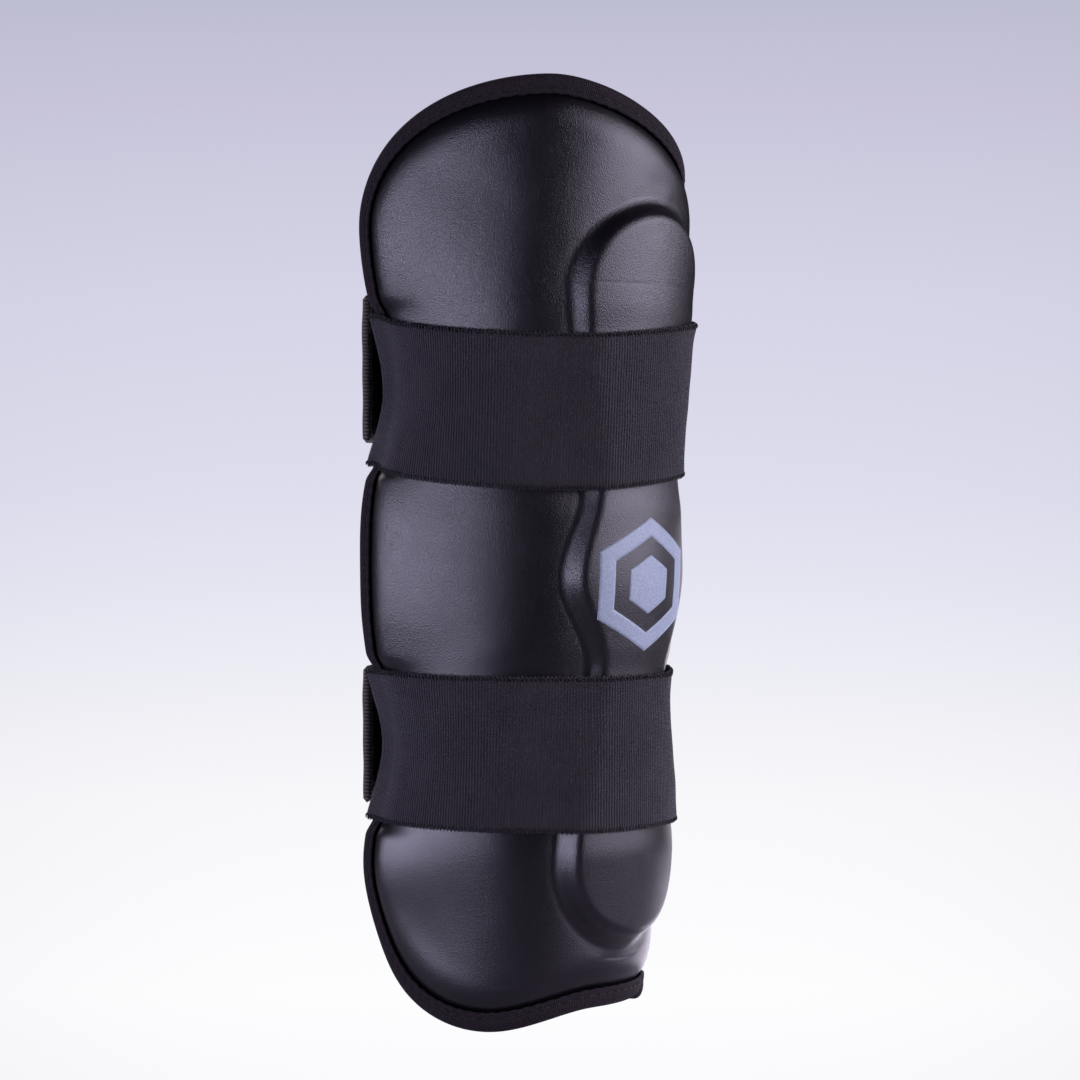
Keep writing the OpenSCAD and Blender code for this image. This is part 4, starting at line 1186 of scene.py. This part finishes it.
def backdrop_nodes(m):
    """pale lilac at the top of the picture to near white at the bottom"""
    w = m.n("SeparateXYZ", {0: m.n("TexCoord").outputs["Window"]}).outputs
    lin = lambda c: tuple(((v / 255 + 0.055) / 1.055) ** 2.4 for v in c)
    stops = [(0.0, (250, 250, 253)), (0.08, (253, 253, 254)), (0.26, (248, 248, 251)), (0.352, (240, 240, 246)), (0.444, (231, 231, 243)),
             (0.537, (223, 222, 238)), (0.63, (217, 217, 234)), (0.722, (214, 212, 231)), (0.815, (207, 206, 225)), (0.907, (200, 197, 218)), (1.0, (190, 190, 210))]
    col = m.ramp(w[1], [(p, lin(c)) for p, c in stops])
    x = m.math("ABSOLUTE", m.math("SUBTRACT", w[0], 0.5))
    edge = m.math("MULTIPLY", m.math("POWER", m.math("MULTIPLY", x, 2.0), 3.0), 0.07)
    return m.mix(edge, col, (0.45, 0.44, 0.55))


fm = Nodes("pale_floor")
see = fm.n("LightPath").outputs["Is Camera Ray"]
colour = backdrop_nodes(fm)
em = fm.n("Emission", {0: colour, 1: 1.0}).outputs[0]
# the sweep under the guard is white; the floor further out is out of the light
far = fm.math("MULTIPLY_ADD", fm.n("VectorMath", {0: fm.n("TexCoord").outputs["Object"]}, operation="LENGTH").outputs[1], 1 / 0.5, -0.24, clamp=True)
dif = fm.n("BsdfDiffuse", {0: fm.mix(far, (0.52, 0.49, 0.56), (0.04, 0.038, 0.045))}).outputs[0]
glow = fm.n("Emission", {0: (0.97, 0.97, 1.0, 1), 1: 0.02}).outputs[0]
both = fm.n("AddShader", {0: dif, 1: glow}).outputs[0]
ms = fm.n("MixShader", {0: see, 1: both, 2: em}).outputs[0]
fm.t.links.new(ms, fm.out.inputs[0])
bpy.ops.mesh.primitive_plane_add(size=12, location=(0, 0, -0.0008))
floor = bpy.context.object
floor.name = "floor"
floor.data.materials.append(fm.m)

world = bpy.data.worlds.new("studio")
bpy.context.scene.world = world
world.use_nodes = True
wm = Nodes.__new__(Nodes)
wm.t = world.node_tree
wm.t.nodes.clear()
wm.out = wm.t.nodes.new("ShaderNodeOutputWorld")
see = wm.n("LightPath").outputs["Is Camera Ray"]
bg1 = wm.n("Background", {0: backdrop_nodes(wm), 1: 1.0}).outputs[0]
bg0 = wm.n("Background", {0: (0.72, 0.66, 1.0, 1), 1: 0.022}).outputs[0]
wm.t.links.new(wm.n("MixShader", {0: see, 1: bg0, 2: bg1}).outputs[0], wm.out.inputs[0])

soft_box("box_left", -114, -5, 1.5, 2.3, 0.62, 55, (0.81, 0.78, 1.0))
soft_box("box_right", 26, 14, 1.5, 1.9, 1.0, 43, (0.90, 0.85, 1.0))
# light coming back off the white floor and the backdrop, low down behind the right-hand edge
soft_box("floor_return", 0, -90, 0.1, 0.26, 0.30, 0.7, (0.92, 0.86, 1.0), target=(0.20, 0.05, 0.1012))
soft_box("low_back", 122, 10, 0.45, 0.50, 0.22, 0.8, (0.95, 0.88, 1.0), target=(0.03, -0.03, 0.02))
soft_box("box_back", 150, 25, 1.8, 1.2, 1.2, 9)

cam_d = bpy.data.cameras.new("camera")
cam = bpy.data.objects.new("camera", cam_d)
bpy.context.scene.collection.objects.link(cam)
cam_d.sensor_width = 36.0
cam_d.lens = 99.6
a, e = math.radians(-49), math.radians(1.0)
back = Vector((math.sin(a) * math.cos(e), -math.cos(a) * math.cos(e), math.sin(e)))
cam.location = Vector((-0.0018, -0.0051, 0.184)) + back * 1.15
cam.rotation_mode = "QUATERNION"
cam.rotation_quaternion = (-back).to_track_quat("-Z", "Y")
cam_d.clip_start, cam_d.clip_end = 0.05, 50
bpy.context.scene.camera = cam
bpy.context.scene.view_settings.view_transform = "Standard"
bpy.context.scene.view_settings.look = "None"
